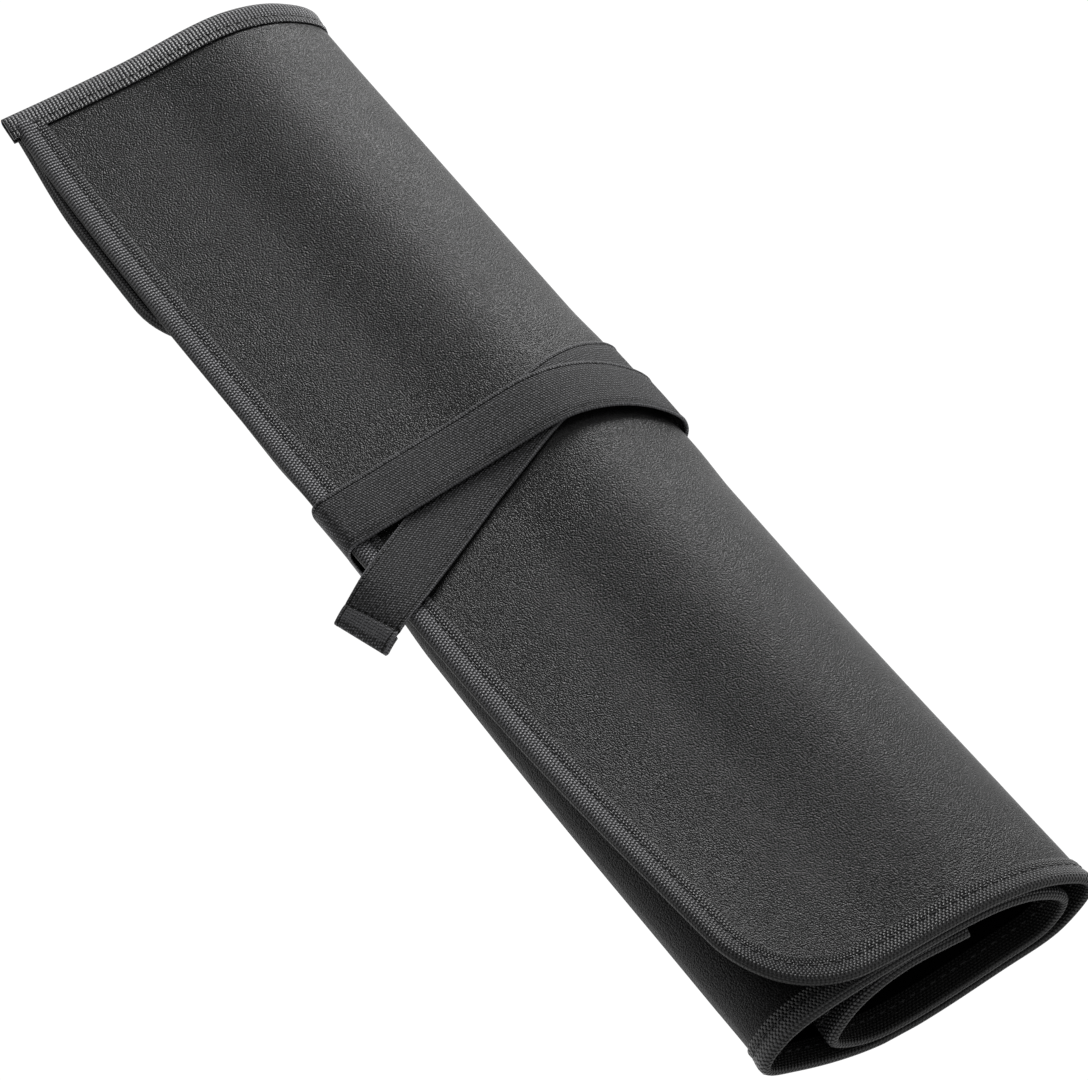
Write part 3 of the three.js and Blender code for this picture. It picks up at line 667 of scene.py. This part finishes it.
# %% The strap's route
STRAP_ROUTE = [
    ("bottom front", 0.12, 1), ("bottom back", 0.17, 1), ("back low", 0.3, 1), ("back tip", 0.28, 1),
    ("back high", 0.11, 1), ("flap back", -0.03, 1), ("flap front", 0.04, 1), ("flap brim", 0.15, 1),
    ("tape step", 0.2, 0.35), ("rim top", 0.23, 0), ("rim corner", 0.23, 0), ("rim front", 0.23, 0),
    ("rim under", 0.23, 0), ("front tip", 0.2, 0), ("front low", 0.1, 0), ("bottom front", -0.1, 0),
    ("bottom back", -0.35, 0), ("back low", -0.5, 0), ("back tip", -0.59, 0), ("back high", -0.47, 0),
    ("flap back", -0.17, 0), ("flap front", 0.58, 0), ("flap brim", 1.23, 0), ("tape step", 1.48, 0),
    ("rim top", 1.74, 0),
]
STOPS_IN_A_LOOP = 15
LOOP = [row[0] for row in STRAP_ROUTE[:STOPS_IN_A_LOOP]]
RIM_SIDES = {
    "flap brim": (0, 0, 1), "tape step": (0, 0, 1), "rim top": (0, -0.2, 0.98),
    "rim corner": (0, -0.75, 0.66), "rim front": (0, -1, 0.05), "rim under": (0, -0.93, -0.37),
    "front tip": (0, -0.98, -0.2),
}
print(f"one loop of the strap has {len(LOOP)} stops")

# %% [markdown]
# Most of the loop lies on the rolled sheet, and the same function as before lays it there. Over
# the bound rim the strap goes free, from the flap's top round the rim to the turn below it. There
# its stops are places off the rim, and each has the side that the strap faces.

# %% Places over the loop
OFF_THE_SHEET = -9


def section_starts(x):
    """The flap's free edge at each place."""
    return roll_up(np.zeros_like(x), x, np.zeros_like(x))


def free_stretch(x):
    """Points of the strap's free way over the bound rim, at each place."""
    rim = section_starts(x)

    def off_rim(dy, dz):
        return rim + np.array([0, dy, dz])

    def on_sheet(name):
        return roll_up(knot_distance(x, ROW[name] + 1), x, np.full_like(x, ON_LEATHER))

    return {
        "tape step": off_rim(TAPE_WIDTH + 2 * TAPE, ON_TAPE),
        "rim top": off_rim(TAPE, ON_TAPE),
        "rim corner": off_rim(-CLEARANCE, OUTER_TAPE + STRAP_CLEARANCE / 2),
        "rim front": off_rim(-STRAP_CLEARANCE, 0),
        "rim under": off_rim(-CLEARANCE, -INNER_DEPTH - CLEARANCE),
        "front tip": on_sheet("front tip"),
        "flap brim": on_sheet("flap brim"),
    }


def over_loop(position, x, height):
    """Places over the loop, at a height above it. The position counts the loop's stops."""
    position, x, height = (np.asarray(v, float).ravel() for v in np.broadcast_arrays(position, x, height))
    wrapped = np.mod(position, len(LOOP))
    stop = np.minimum(wrapped.astype(int), len(LOOP) - 1)
    share = wrapped - stop
    result = np.zeros((len(x), 3))
    for i, name in enumerate(LOOP):
        here = np.nonzero(stop == i)[0]
        if not len(here):
            continue
        next_name = LOOP[(i + 1) % len(LOOP)]
        knot, next_knot = (ROW.get(n, OFF_THE_SHEET) + 1 for n in (name, next_name))
        s, places = share[here], x[here]
        if knot > 0 and next_knot > 0 and abs(knot - next_knot) == 1:
            distance = knot_distance(places, knot) * (1 - s) + knot_distance(places, next_knot) * s
            result[here] = roll_up(distance, places, ON_LEATHER + height[here])
            continue
        free = free_stretch(places)
        start, end = free[name], free[next_name]
        side, next_side = np.array(RIM_SIDES[name]), np.array(RIM_SIDES[next_name])
        facing = side * (1 - s)[:, None] + next_side * s[:, None]
        facing /= np.linalg.norm(facing, axis=-1, keepdims=True)
        result[here] = start * (1 - s)[:, None] + end * s[:, None] + facing * height[here][:, None]
    return result


# %% [markdown]
# The route's stops are joined by a smooth curve, and evened out a little, as a stretched band
# evens itself out. The strap's width is laid square to its way along. Across it, the profile is
# flat with a thin rounded cord at each edge and a groove beside it, as on knitted elastic.

# %% The strap round the roll
STRAP_ROW = 1.2
ROUTE_TENSION = 0.4
PLACE_EVENED, LEVEL_EVENED = 7.0, 4.0
CORD_STOPS = np.array([1, 0.985, 0.95, 0.91, 0.88, 0.85, 0.6, 0.3])
CORD_HEIGHT = np.array([-0.3, 0.05, 0.2, 0.05, -0.3, -0.04, 0.0, 0.05])
CROWN_HEIGHT = 0.07
STRAP_ACROSS = np.concatenate([-CORD_STOPS, [0], CORD_STOPS[::-1]])
STRAP_HEIGHT = np.concatenate([CORD_HEIGHT, [CROWN_HEIGHT], CORD_HEIGHT[::-1]])
STRAP_MIDDLE = len(CORD_STOPS)


def catmull(values, position, tension):
    """A uniform Catmull-Rom curve through the values of a table."""
    v = np.asarray(values, float)
    v = np.concatenate([2 * v[:1] - v[1:2], v, 2 * v[-1:] - v[-2:-1]])
    i = np.minimum(position.astype(int), len(values) - 2)
    s = (position - i)[:, None]
    p0, p1, p2, p3 = (v[i + k] for k in range(4))
    t1, t2 = tension * (p2 - p0), tension * (p3 - p1)
    return p1 + s * (t1 + s * (3 * (p2 - p1) - 2 * t1 - t2 + s * (2 * (p1 - p2) + t1 + t2)))


def even_out(values, reach):
    """A gentle average of a row of values over a reach in millimetres."""
    count = round(3 * reach / STRAP_ROW)
    weights = np.exp(-0.5 * (np.arange(-count, count + 1) * STRAP_ROW / reach) ** 2)
    start = values[0] + (values[1] - values[0]) * np.arange(-count, 0)
    end = values[-1] + (values[-1] - values[-2]) * np.arange(1, count + 1)
    return np.convolve(np.concatenate([start, values, end]), weights / weights.sum(), "valid")


def soften(places, rounds, first, last):
    """Evens out the rows from first to last, so that no stretch of the strap has a corner."""
    for _ in range(rounds):
        middle = places[first:last]
        places[first:last] = (places[first - 1:last - 1] + 2 * middle + places[first + 1:last + 1]) / 4
    return places


last_stop = len(STRAP_ROUTE) - 1.5
stops = np.linspace(0, 2 * len(LOOP), 6001)
stop_lengths = length_along(over_loop(stops, STRAP_PLACE, 0)[:, 1:])
last_length = np.interp(last_stop, stops, stop_lengths)
strap_lengths = np.linspace(0, last_length, round(last_length / STRAP_ROW))
route_rows = [row[1:] for row in STRAP_ROUTE]
route = catmull(route_rows, np.interp(strap_lengths, stop_lengths, stops), ROUTE_TENSION)
strap_x = even_out(STRAP_PLACE + STRAP_WIDTH * route[:, 0], PLACE_EVENED)
strap_level = even_out(route[:, 1], LEVEL_EVENED)
slant = even_out(np.arctan(np.gradient(strap_x) / np.gradient(strap_lengths)), PLACE_EVENED)
strap_side = STRAP_ACROSS[None, :] * STRAP_WIDTH / 2
grid_x = strap_x[:, None] + np.cos(slant)[:, None] * strap_side
grid_length = strap_lengths[:, None] - np.sin(slant)[:, None] * strap_side
grid_at = np.interp(grid_length, stop_lengths, stops)
grid_height = (strap_level * STRAP_PITCH)[:, None] + STRAP / 2 + STRAP_HEIGHT[None, :]
strap_body = over_loop(grid_at, grid_x, grid_height).reshape(len(strap_lengths), -1, 3)
strap_body = soften(strap_body, 4, 1, len(strap_body) - 1)
print(f"the strap lies on the roll for {last_length:.0f} mm")

# %% [markdown]
# The free end runs on past the flap's rim. The band's own weight makes it droop there, and the
# strand above it turns it a little. It is cut at a slight slant.

# %% The strap's free end
TAIL_LENGTH, TAIL_DROOP, TAIL_TURN, DROOP_BEND, TAIL_SLANT = 18.0, 36.0, 11.0, 4.0, 0.08
TAIL_ROWS, TAIL_RISE = 40, 8.0
BEND_ROUNDS, BEND_BEFORE, BEND_AFTER = 140, 22, 36


def turned_by(angle):
    """A turn about the upright axis."""
    return np.array([
        [math.cos(angle), -math.sin(angle), 0], [math.sin(angle), math.cos(angle), 0], [0, 0, 1],
    ])


def strap_tail(rows):
    """Rows of the free end, on past the rim."""
    last = rows[-1]
    start = (last[0] + last[-1]) / 2
    across = last[-1] - last[0]
    across[2] = 0
    across /= np.linalg.norm(across)
    way = start - (rows[-4][0] + rows[-4][-1]) / 2
    way[2] = 0
    way -= across * way.dot(across)
    way /= np.linalg.norm(way)
    rim = section_starts(start[:1])[0]
    length = (start[1] - rim[1]) / -way[1] + TAIL_LENGTH
    slope = math.tan(math.radians(TAIL_DROOP))
    top = max(last[0][2], last[-1][2]) + CLEARANCE
    tail = []
    for reach in np.linspace(0, length, TAIL_ROWS)[1:]:
        angle = -math.radians(TAIL_TURN) * reach / length
        reaches = reach * (1 - TAIL_SLANT * (1 - STRAP_ACROSS) / 2)
        ahead = (turned_by(angle / 2) @ way) * reaches[:, None]
        row = (last - start) @ turned_by(angle).T + start + ahead
        past = np.maximum(0, rim[1] - 2 * STRAP - row[:, 1])
        rise = smooth(reach / TAIL_RISE)
        level = last[:, 2] * (1 - rise) + top * rise
        row[:, 2] = level - slope * past ** 2 / (past + DROOP_BEND)
        tail.append(row)
    return np.array(tail)


strap_rows = np.concatenate([strap_body, strap_tail(strap_body)])
bend = len(strap_body)
strap_rows = soften(strap_rows, BEND_ROUNDS, bend - BEND_BEFORE, bend + BEND_AFTER)

# %% [markdown]
# The end is folded under and sewn down, so that it can't unravel. The stitches pinch the band,
# and between them and the fold it stays full. The turned-under part lies close below.

# %% The strap's hem
STRAP_CLOTH = 1.2
HEM_LENGTH, HEM_DROP, HEM_PINCH, HEM_FULLNESS, PINCH_REACH = 8.0, 1.5, 0.2, 0.6, 0.9


def folded_under(rows, length, drop):
    """The rows with the band's end turned under, and run back for a length."""
    ahead = np.gradient(rows[:, STRAP_MIDDLE], axis=0)
    ahead /= np.linalg.norm(ahead, axis=-1, keepdims=True)
    down = np.cross(rows[:, -1] - rows[:, 0], ahead)
    down /= np.linalg.norm(down, axis=-1, keepdims=True)
    turn = []
    for angle in np.radians([30, 60, 90, 120, 150]):
        shift = ahead[-1] * math.sin(angle) * drop / 2 + down[-1] * (1 - math.cos(angle)) * drop / 2
        turn.append(rows[-1] + shift)
    count = int(length / np.linalg.norm(rows[-1, STRAP_MIDDLE] - rows[-2, STRAP_MIDDLE]))
    back = rows[-1:-count - 1:-1] + down[-1:-count - 1:-1, None] * drop
    return np.concatenate([rows, turn, back])


run = length_along(strap_rows[:, STRAP_MIDDLE])
to_end = run[-1] - run
pinch = np.exp(-((to_end - HEM_LENGTH) / PINCH_REACH) ** 2) * HEM_PINCH
half_hem = HEM_LENGTH / 2
full = np.clip(1 - ((to_end - half_hem) / half_hem) ** 2, 0, None) * HEM_FULLNESS
strap_rows[:, :, 2] += (full - pinch)[:, None]
fold_at = length_along(strap_rows[:, STRAP_MIDDLE])[-1]
fold_row = strap_rows[-1, STRAP_MIDDLE]
strap_rows = folded_under(strap_rows, HEM_LENGTH, HEM_DROP)
strap_along = length_along(strap_rows[:, STRAP_MIDDLE])
strap_map = np.stack(np.broadcast_arrays(strap_along[:, None], strap_side), -1)
strap = cloth_grid("strap_band", strap_rows, strap_map, STRAP_CLOTH)
print(f"strap: {strap_along[-1]:.0f} mm long")

# %% [markdown]
# One row of short stitches goes across the band and holds the hem.

# %% Stitches of the hem
HEM_STITCH, HEM_STITCH_LENGTH, HEM_FACE = 2.9, 3.0, 0.7
hem_at = fold_at - HEM_LENGTH
hem_row = strap_rows[np.searchsorted(strap_along, hem_at)]
hem_up = np.cross(fold_row - hem_row[STRAP_MIDDLE], hem_row[-1] - hem_row[0])
hem_up *= np.sign(hem_up[2])
hem_up /= np.linalg.norm(hem_up)
hem_line = np.linspace(hem_row[1], hem_row[-2], 12)
hem_seam = stitches(
    "hem_stitches", hem_line + hem_up * HEM_FACE, hem_line + hem_up * 2, HEM_STITCH, HEM_STITCH_LENGTH,
)

# %% [markdown]
# ## What each piece stands for
#
# Nothing on the bag moves as a rigid part, so every piece rides on the one body. Each cloth takes
# the place of the part's solid of the same name and slot, and the seams come on top of them.

# %% Bodies, slots and what each piece stands for
PIECES = [
    (leather, "outer_shell", "leather"), (lining, "lining", "lining"), (edge_tape, "edge_binding", "tape"),
    (far_tape, "far_end_binding", "tape"), (inner_tape, "inner_edge_binding", "tape"),
    (cover, "cover_flap", "leather"), (cover_tape, "cover_flap_binding", "tape"),
    (strap, "elastic_strap", "elastic"),
]
SEAMS = [*edge_seams, cover_seam, hem_seam]
for piece, node, slot in PIECES:
    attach(piece, "root")
    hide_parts(node)
for piece in SEAMS:
    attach(piece, "root")
print(f"{len(PIECES)} pieces of cloth and {len(SEAMS)} seams")

# %% [markdown]
# Three of the cloths are sheets that were cut flat.


# %% [markdown]
# ## Materials
#
# All patterns are worked out from the flat map of each cloth, in millimetres, so they follow the
# folds. The small class below wraps one shader value, so that a pattern can be written as a sum.

# %% A value in a material
class Value:
    """One value of a material's nodes. Arithmetic on values adds the nodes that work it out."""

    def __init__(self, tree, socket=None):
        self.tree, self.socket = tree, socket

    def node(self, kind, settings=None, sockets=None, output=0):
        """Adds a node of any kind, with its settings and sockets, and returns one output."""
        added = self.tree.nodes.new(kind)
        for name, setting in (settings or {}).items():
            setattr(added, name, setting)
        for name, value in (sockets or {}).items():
            if isinstance(value, Value):
                self.tree.links.new(value.socket, added.inputs[name])
            else:
                added.inputs[name].default_value = value
        return Value(self.tree, added.outputs[output])

    def math(self, operation, *values):
        return self.node("ShaderNodeMath", {"operation": operation}, dict(enumerate(values)))

    def __add__(self, other):
        return self.math("ADD", self, other)

    def __sub__(self, other):
        return self.math("SUBTRACT", self, other)

    def __mul__(self, other):
        return self.math("MULTIPLY", self, other)

    def __truediv__(self, other):
        return self.math("DIVIDE", self, other)

    def __rsub__(self, other):
        return self.math("SUBTRACT", other, self)

    __radd__, __rmul__ = __add__, __mul__

    def size(self):
        """The value without its sign."""
        return self.math("ABSOLUTE", self)

    def power(self, other):
        return self.math("POWER", self, other)

    def between(self, low, high):
        """0 below low, 1 above high and a smooth rise between them."""
        sockets = {"Value": self, "From Min": low, "From Max": high}
        return self.node("ShaderNodeMapRange", {"interpolation_type": "SMOOTHSTEP"}, sockets)

    def ripple(self, pitch, offset=0.0):
        """Rounded ribs, one in every pitch."""
        return self.math("SINE", self * (math.pi / pitch) + offset).size()

    def blend(self, low, high):
        """The colour low where the value is 0 and high where it is 1."""
        settings = {"data_type": "RGBA", "blend_type": "MIX"}
        return self.node("ShaderNodeMix", settings, {0: self, 6: (*low, 1), 7: (*high, 1)}, output=2)

    def raised(self, depth):
        """A surface normal from a height pattern, whose full height is depth millimetres."""
        return self.node("ShaderNodeBump", None, {"Distance": depth * MM, "Height": self})


# %% [markdown]
# Every finish on this bag is a cloth's finish: one shader, and the cloth's flat map to work out
# its pattern from. Along runs with the roll or with a tape, and across runs over its width.

# %% A cloth's finish
def grey(level, coolness=1.05):
    """A neutral colour, a touch cooler than pure grey."""
    return level, level, level * coolness


class Finish:
    """A new material with its shader, and the cloth's flat map in millimetres."""

    def __init__(self, name, roughness, specular):
        self.material = bpy.data.materials.new(name)
        self.material.use_nodes = True
        tree = self.material.node_tree
        self.shader = tree.nodes["Principled BSDF"]
        self.shader.inputs["Roughness"].default_value = roughness
        self.shader.inputs["Specular IOR Level"].default_value = specular
        cloth = Value(tree).node("ShaderNodeUVMap", {"uv_map": "cloth"})
        self.flat = cloth.node("ShaderNodeVectorMath", {"operation": "SCALE"}, {0: cloth, "Scale": 1 / MM})
        self.along = cloth.node("ShaderNodeSeparateXYZ", None, {0: self.flat})
        self.across = Value(tree, self.along.socket.node.outputs[1])

    def spots(self, scale, detail, roughness=0.5):
        """Soft uneven spots, scale of them to a millimetre."""
        sockets = {"Vector": self.flat, "Scale": scale, "Detail": detail, "Roughness": roughness}
        return self.flat.node("ShaderNodeTexNoise", {"noise_dimensions": "2D"}, sockets)

    def feed(self, socket, value):
        """Lets a pattern drive one of the shader's sockets."""
        value.tree.links.new(value.socket, self.shader.inputs[socket])


# %% [markdown]
# Imitation leather is a plastic film pressed with a pebble grain. The grain could be modelled,
# but it is finer than a millimetre, so a bump does it: small round cells, roughened by finer
# spots. The tops of the pebbles are painted lighter than the gaps: painted glints where the grain
# catches the light.

# %% Imitation leather
def leather_finish():
    finish = Finish("pebbled imitation leather", 0.36, 0.24)
    cells = finish.flat.node(
        "ShaderNodeTexVoronoi", {"voronoi_dimensions": "2D", "feature": "SMOOTH_F1"},
        {"Vector": finish.flat, "Scale": 1.35, "Smoothness": 0.15, "Randomness": 1.0},
    )
    fine = finish.spots(1.6, 1.0, 0.7)
    worn = finish.spots(0.05, 2.0)
    grain = (1 - cells) * 0.55 + fine * 0.75
    finish.feed("Normal", grain.raised(0.33))
    # Painted glints: the colour gets lighter where the grain's height rises, on the pebble tops.
    finish.feed("Base Color", grain.between(0.55, 0.9).blend(grey(0.004), (0.022, 0.022, 0.0228)))
    finish.feed("Roughness", 0.27 + fine * 0.1 + worn * 0.1)
    return finish.material


# %% [markdown]
# The lining is a plain thin weave with no shine. It lies in deep shade, so it is kept very dark.

# %% Lining cloth
def lining_finish():
    finish = Finish("smooth lining", 0.8, 0.05)
    weave = finish.along.ripple(0.7) * finish.across.ripple(0.7)
    finish.feed("Normal", weave.raised(0.05))
    finish.feed("Base Color", weave.blend((0.003, 0.003, 0.0032), (0.006, 0.006, 0.0064)))
    return finish.material


# %% [markdown]
# The binding tape is woven of thick yarn, and each crossing shows as a bead. The beads lie in
# rows along the tape, and each row is set off from the next by a share of a rib, so the ribs
# slant. On the flap the rows come together towards the far end, and so the ribs stand straight
# there. The seam leaves needle holes in a shallow groove. The tape's colour has painted light:
# a painted highlight on its crown, painted shade over the rim and on the inner leg, and painted
# shade on its run round the near end and the corner.

# %% Woven tape
RIB_PITCH, WARP_PITCH = 1.5, 1.1
RIBS_STRAIGHTEN, RIBS_SHIFT = 150, 0.24
DARK_UNTIL, LIGHT_FROM, DARK_SHARE = 280, 160, 0.22


def tape_finish(name, shift, row_depth, brightness, straight_from=None):
    """Woven tape with rows of beads, each row set off from the next by a share of a rib."""
    finish = Finish(name, 0.36, 0.62)
    along, across = finish.along, finish.across
    shade = 1.0
    if straight_from is not None:
        shift = shift - along.between(straight_from, straight_from + RIBS_STRAIGHTEN) * RIBS_SHIFT
        # Painted shade: the colour falls to DARK_SHARE over each tape's first stretch. On the edge tape that
        # stretch is its run round the near end and the corner.
        shade = along.between(straight_from - DARK_UNTIL, straight_from - LIGHT_FROM)
        shade = shade * (1 - DARK_SHARE) + DARK_SHARE
    row = across.math("FLOOR", across / WARP_PITCH)
    row_shift = row.math("MODULO", row, 2.0) * shift * math.pi
    beads = along.ripple(RIB_PITCH, row_shift).power(0.8)
    rows = across.ripple(WARP_PITCH).power(0.6)
    from_line = (across - STITCH_INSET).size()
    from_hole = along.ripple(STITCH_PITCH)
    hole = (1 - from_hole.between(0.2, 0.45)) * (1 - from_line.between(0.35, 0.7))
    groove = 1 - from_line.between(0.0, 0.8)
    selvedge = 1 - across.between(0.15, 0.55)
    weave = beads * (1 - row_depth + rows * row_depth) - hole * 1.1 - groove * 0.05 + selvedge * 0.35
    # In the colour: painted shade over the rim and on the inner leg, and a painted highlight on the crown
    # between the seam and the rim.
    outside = 1 - across.between(TAPE_WIDTH - 1.6, TAPE_WIDTH + 0.4)
    crown_highlight = across.between(STITCH_INSET + 0.4, STITCH_INSET + 1.4)
    light = weave.between(0.25, 1.0) * (0.03 + outside * (0.37 + crown_highlight * 0.6)) * shade
    finish.feed("Normal", weave.raised(0.75))
    finish.feed("Base Color", light.blend((0.001, 0.001, 0.001), grey(brightness, 1.06)))
    finish.feed("Roughness", 0.62 - outside * 0.24)
    return finish.material


# %% [markdown]
# Knitted elastic is covered with tiny slanted loops that catch the light unevenly. A smooth cord
# runs along each edge, with a groove beside it: the cord gets a painted highlight and the groove
# painted shade. The hem shows its needle holes, and between them and the fold the ribs of the
# knit get a painted highlight, where the folded band bulges.

# %% Knitted elastic
KNIT_PITCH, KNIT_SLANT = 1.05, 0.35


def elastic_finish():
    finish = Finish("knitted elastic", 0.6, 0.25)
    along, across = finish.along, finish.across
    loops = (along + across * KNIT_SLANT).ripple(KNIT_PITCH) * across.ripple(KNIT_PITCH)
    knit = loops * (0.25 + finish.spots(1.1, 1.0).between(0.35, 0.6) * 1.1)
    edge = across.size() / (STRAP_WIDTH / 2)
    # Painted highlight on each edge cord, and painted shade in the groove beside it.
    cord_highlight = edge.between(0.95, 0.975)
    groove = edge.between(0.84, 0.88) * (1 - edge.between(0.9, 0.94))
    from_hole = across.ripple(HEM_STITCH)
    hole = (1 - from_hole.between(0.3, 0.7)) * (1 - (along - hem_at).size().between(0.4, 0.9))
    # Painted highlight on the knit's ribs between the hem's stitches and the fold.
    hem_highlight = along.between(hem_at + 0.3, hem_at + 1.0) * (1 - along.between(fold_at - 3.0, fold_at - 1.6))
    shade = knit * 0.68 + cord_highlight * 0.4 - groove * 0.5 - hole * 0.8 + hem_highlight * along.ripple(KNIT_PITCH) * 0.5
    finish.feed("Normal", (knit - hole * 1.5).raised(0.35))
    finish.feed("Base Color", shade.between(-0.1, 0.95).blend((0.002, 0.002, 0.002), (0.21, 0.21, 0.22)))
    return finish.material


# %% [markdown]
# The thread is black and slightly waxed. A stitch is too small for a pattern of its own.

# %% Thread
def thread_finish():
    material = bpy.data.materials.new("black thread")
    material.use_nodes = True
    shader = material.node_tree.nodes["Principled BSDF"]
    shader.inputs["Base Color"].default_value = (*grey(0.05), 1)
    shader.inputs["Roughness"].default_value = 0.4
    return material


# %% [markdown]
# The finishes go onto the pieces by their slots. Only the far end's tape has one of its own: its
# ribs run straight across, and it is the same yarn with painted shade: its colour is darker,
# since the light behind it strikes it harder.

# %% Dress the pieces
FINISHES = {
    "leather": leather_finish(),
    "lining": lining_finish(),
    "tape": tape_finish("woven binding tape", shift=0.36, row_depth=0.45, brightness=0.26, straight_from=860),
    "elastic": elastic_finish(),
}
# Painted shade: the same tape with a darker colour, against the strong light behind the far end.
ribbed = tape_finish("ribbed binding tape", shift=0.1, row_depth=0.3, brightness=0.17)
thread = thread_finish()
for piece, node, slot in PIECES:
    piece.data.materials.append(ribbed if piece is far_tape else FINISHES[slot])
for piece in SEAMS:
    piece.data.materials.append(thread)
print("finishes:", ", ".join(material.name for material in bpy.data.materials))

# %% [markdown]
# ## Floor and light
#
# The photograph has a pure white ground with no shadow. A white floor would show shadows, so this
# one gives off its own light and nothing falls on it. The leather's sheen comes from a low light
# behind the far end, and a large soft one overhead lights the flats.

# %% Floor
FLOOR_HALF, FLOOR_GLOW = 6, 1.05

bm = bmesh.new()
bmesh.ops.create_grid(bm, x_segments=1, y_segments=1, size=FLOOR_HALF)
floor = new_piece("floor", bm)
floor_paint = bpy.data.materials.new("white floor")
floor_paint.use_nodes = True
paint = floor_paint.node_tree.nodes["Principled BSDF"]
paint.inputs["Base Color"].default_value = (0, 0, 0, 1)
paint.inputs["Roughness"].default_value = 1.0
paint.inputs["Specular IOR Level"].default_value = 0.0
paint.inputs["Emission Color"].default_value = (1, 1, 1, 1)
paint.inputs["Emission Strength"].default_value = FLOOR_GLOW
floor.data.materials.append(floor_paint)

# %% [markdown]
# The lights stand on a sphere round the bag: each has a direction, a distance in metres, a size
# and a power in watts. Two weak ones fill in the back and the front, and the room gives a little
# light from everywhere, for the views in which the sheen doesn't help.

# %% Lights
LIGHTS = [
    ("back softbox", (-0.74, 0.71, 0.34), 1.6, (0.6, 0.45), 19),
    ("top softbox", (-0.55, 0.12, 1.0), 1.5, (1.0, 1.0), 4),
    ("back fill", (0.1, 1.0, 0.35), 1.8, (1.2, 0.6), 3),
    ("front fill", (-0.8, -1.0, 0.5), 1.8, (1.2, 0.8), 0.6),
]
ROOM_LIGHT = 0.16

for name, direction, distance, size, power in LIGHTS:
    data = bpy.data.lights.new(name, "AREA")
    data.shape = "RECTANGLE"
    data.size, data.size_y = size
    data.energy = power
    light = bpy.data.objects.new(name, data)
    way = Vector(direction).normalized()
    light.location = target + way * distance
    light.rotation_euler = way.to_track_quat("Z", "Y").to_euler()
    bpy.context.scene.collection.objects.link(light)
world = bpy.data.worlds.new("studio")
world.use_nodes = True
world.node_tree.nodes["Background"].inputs["Color"].default_value = (1, 1, 1, 1)
world.node_tree.nodes["Background"].inputs["Strength"].default_value = ROOM_LIGHT
bpy.context.scene.world = world
bpy.context.scene.view_settings.view_transform = "Standard"
print(f"{len(LIGHTS)} lights")
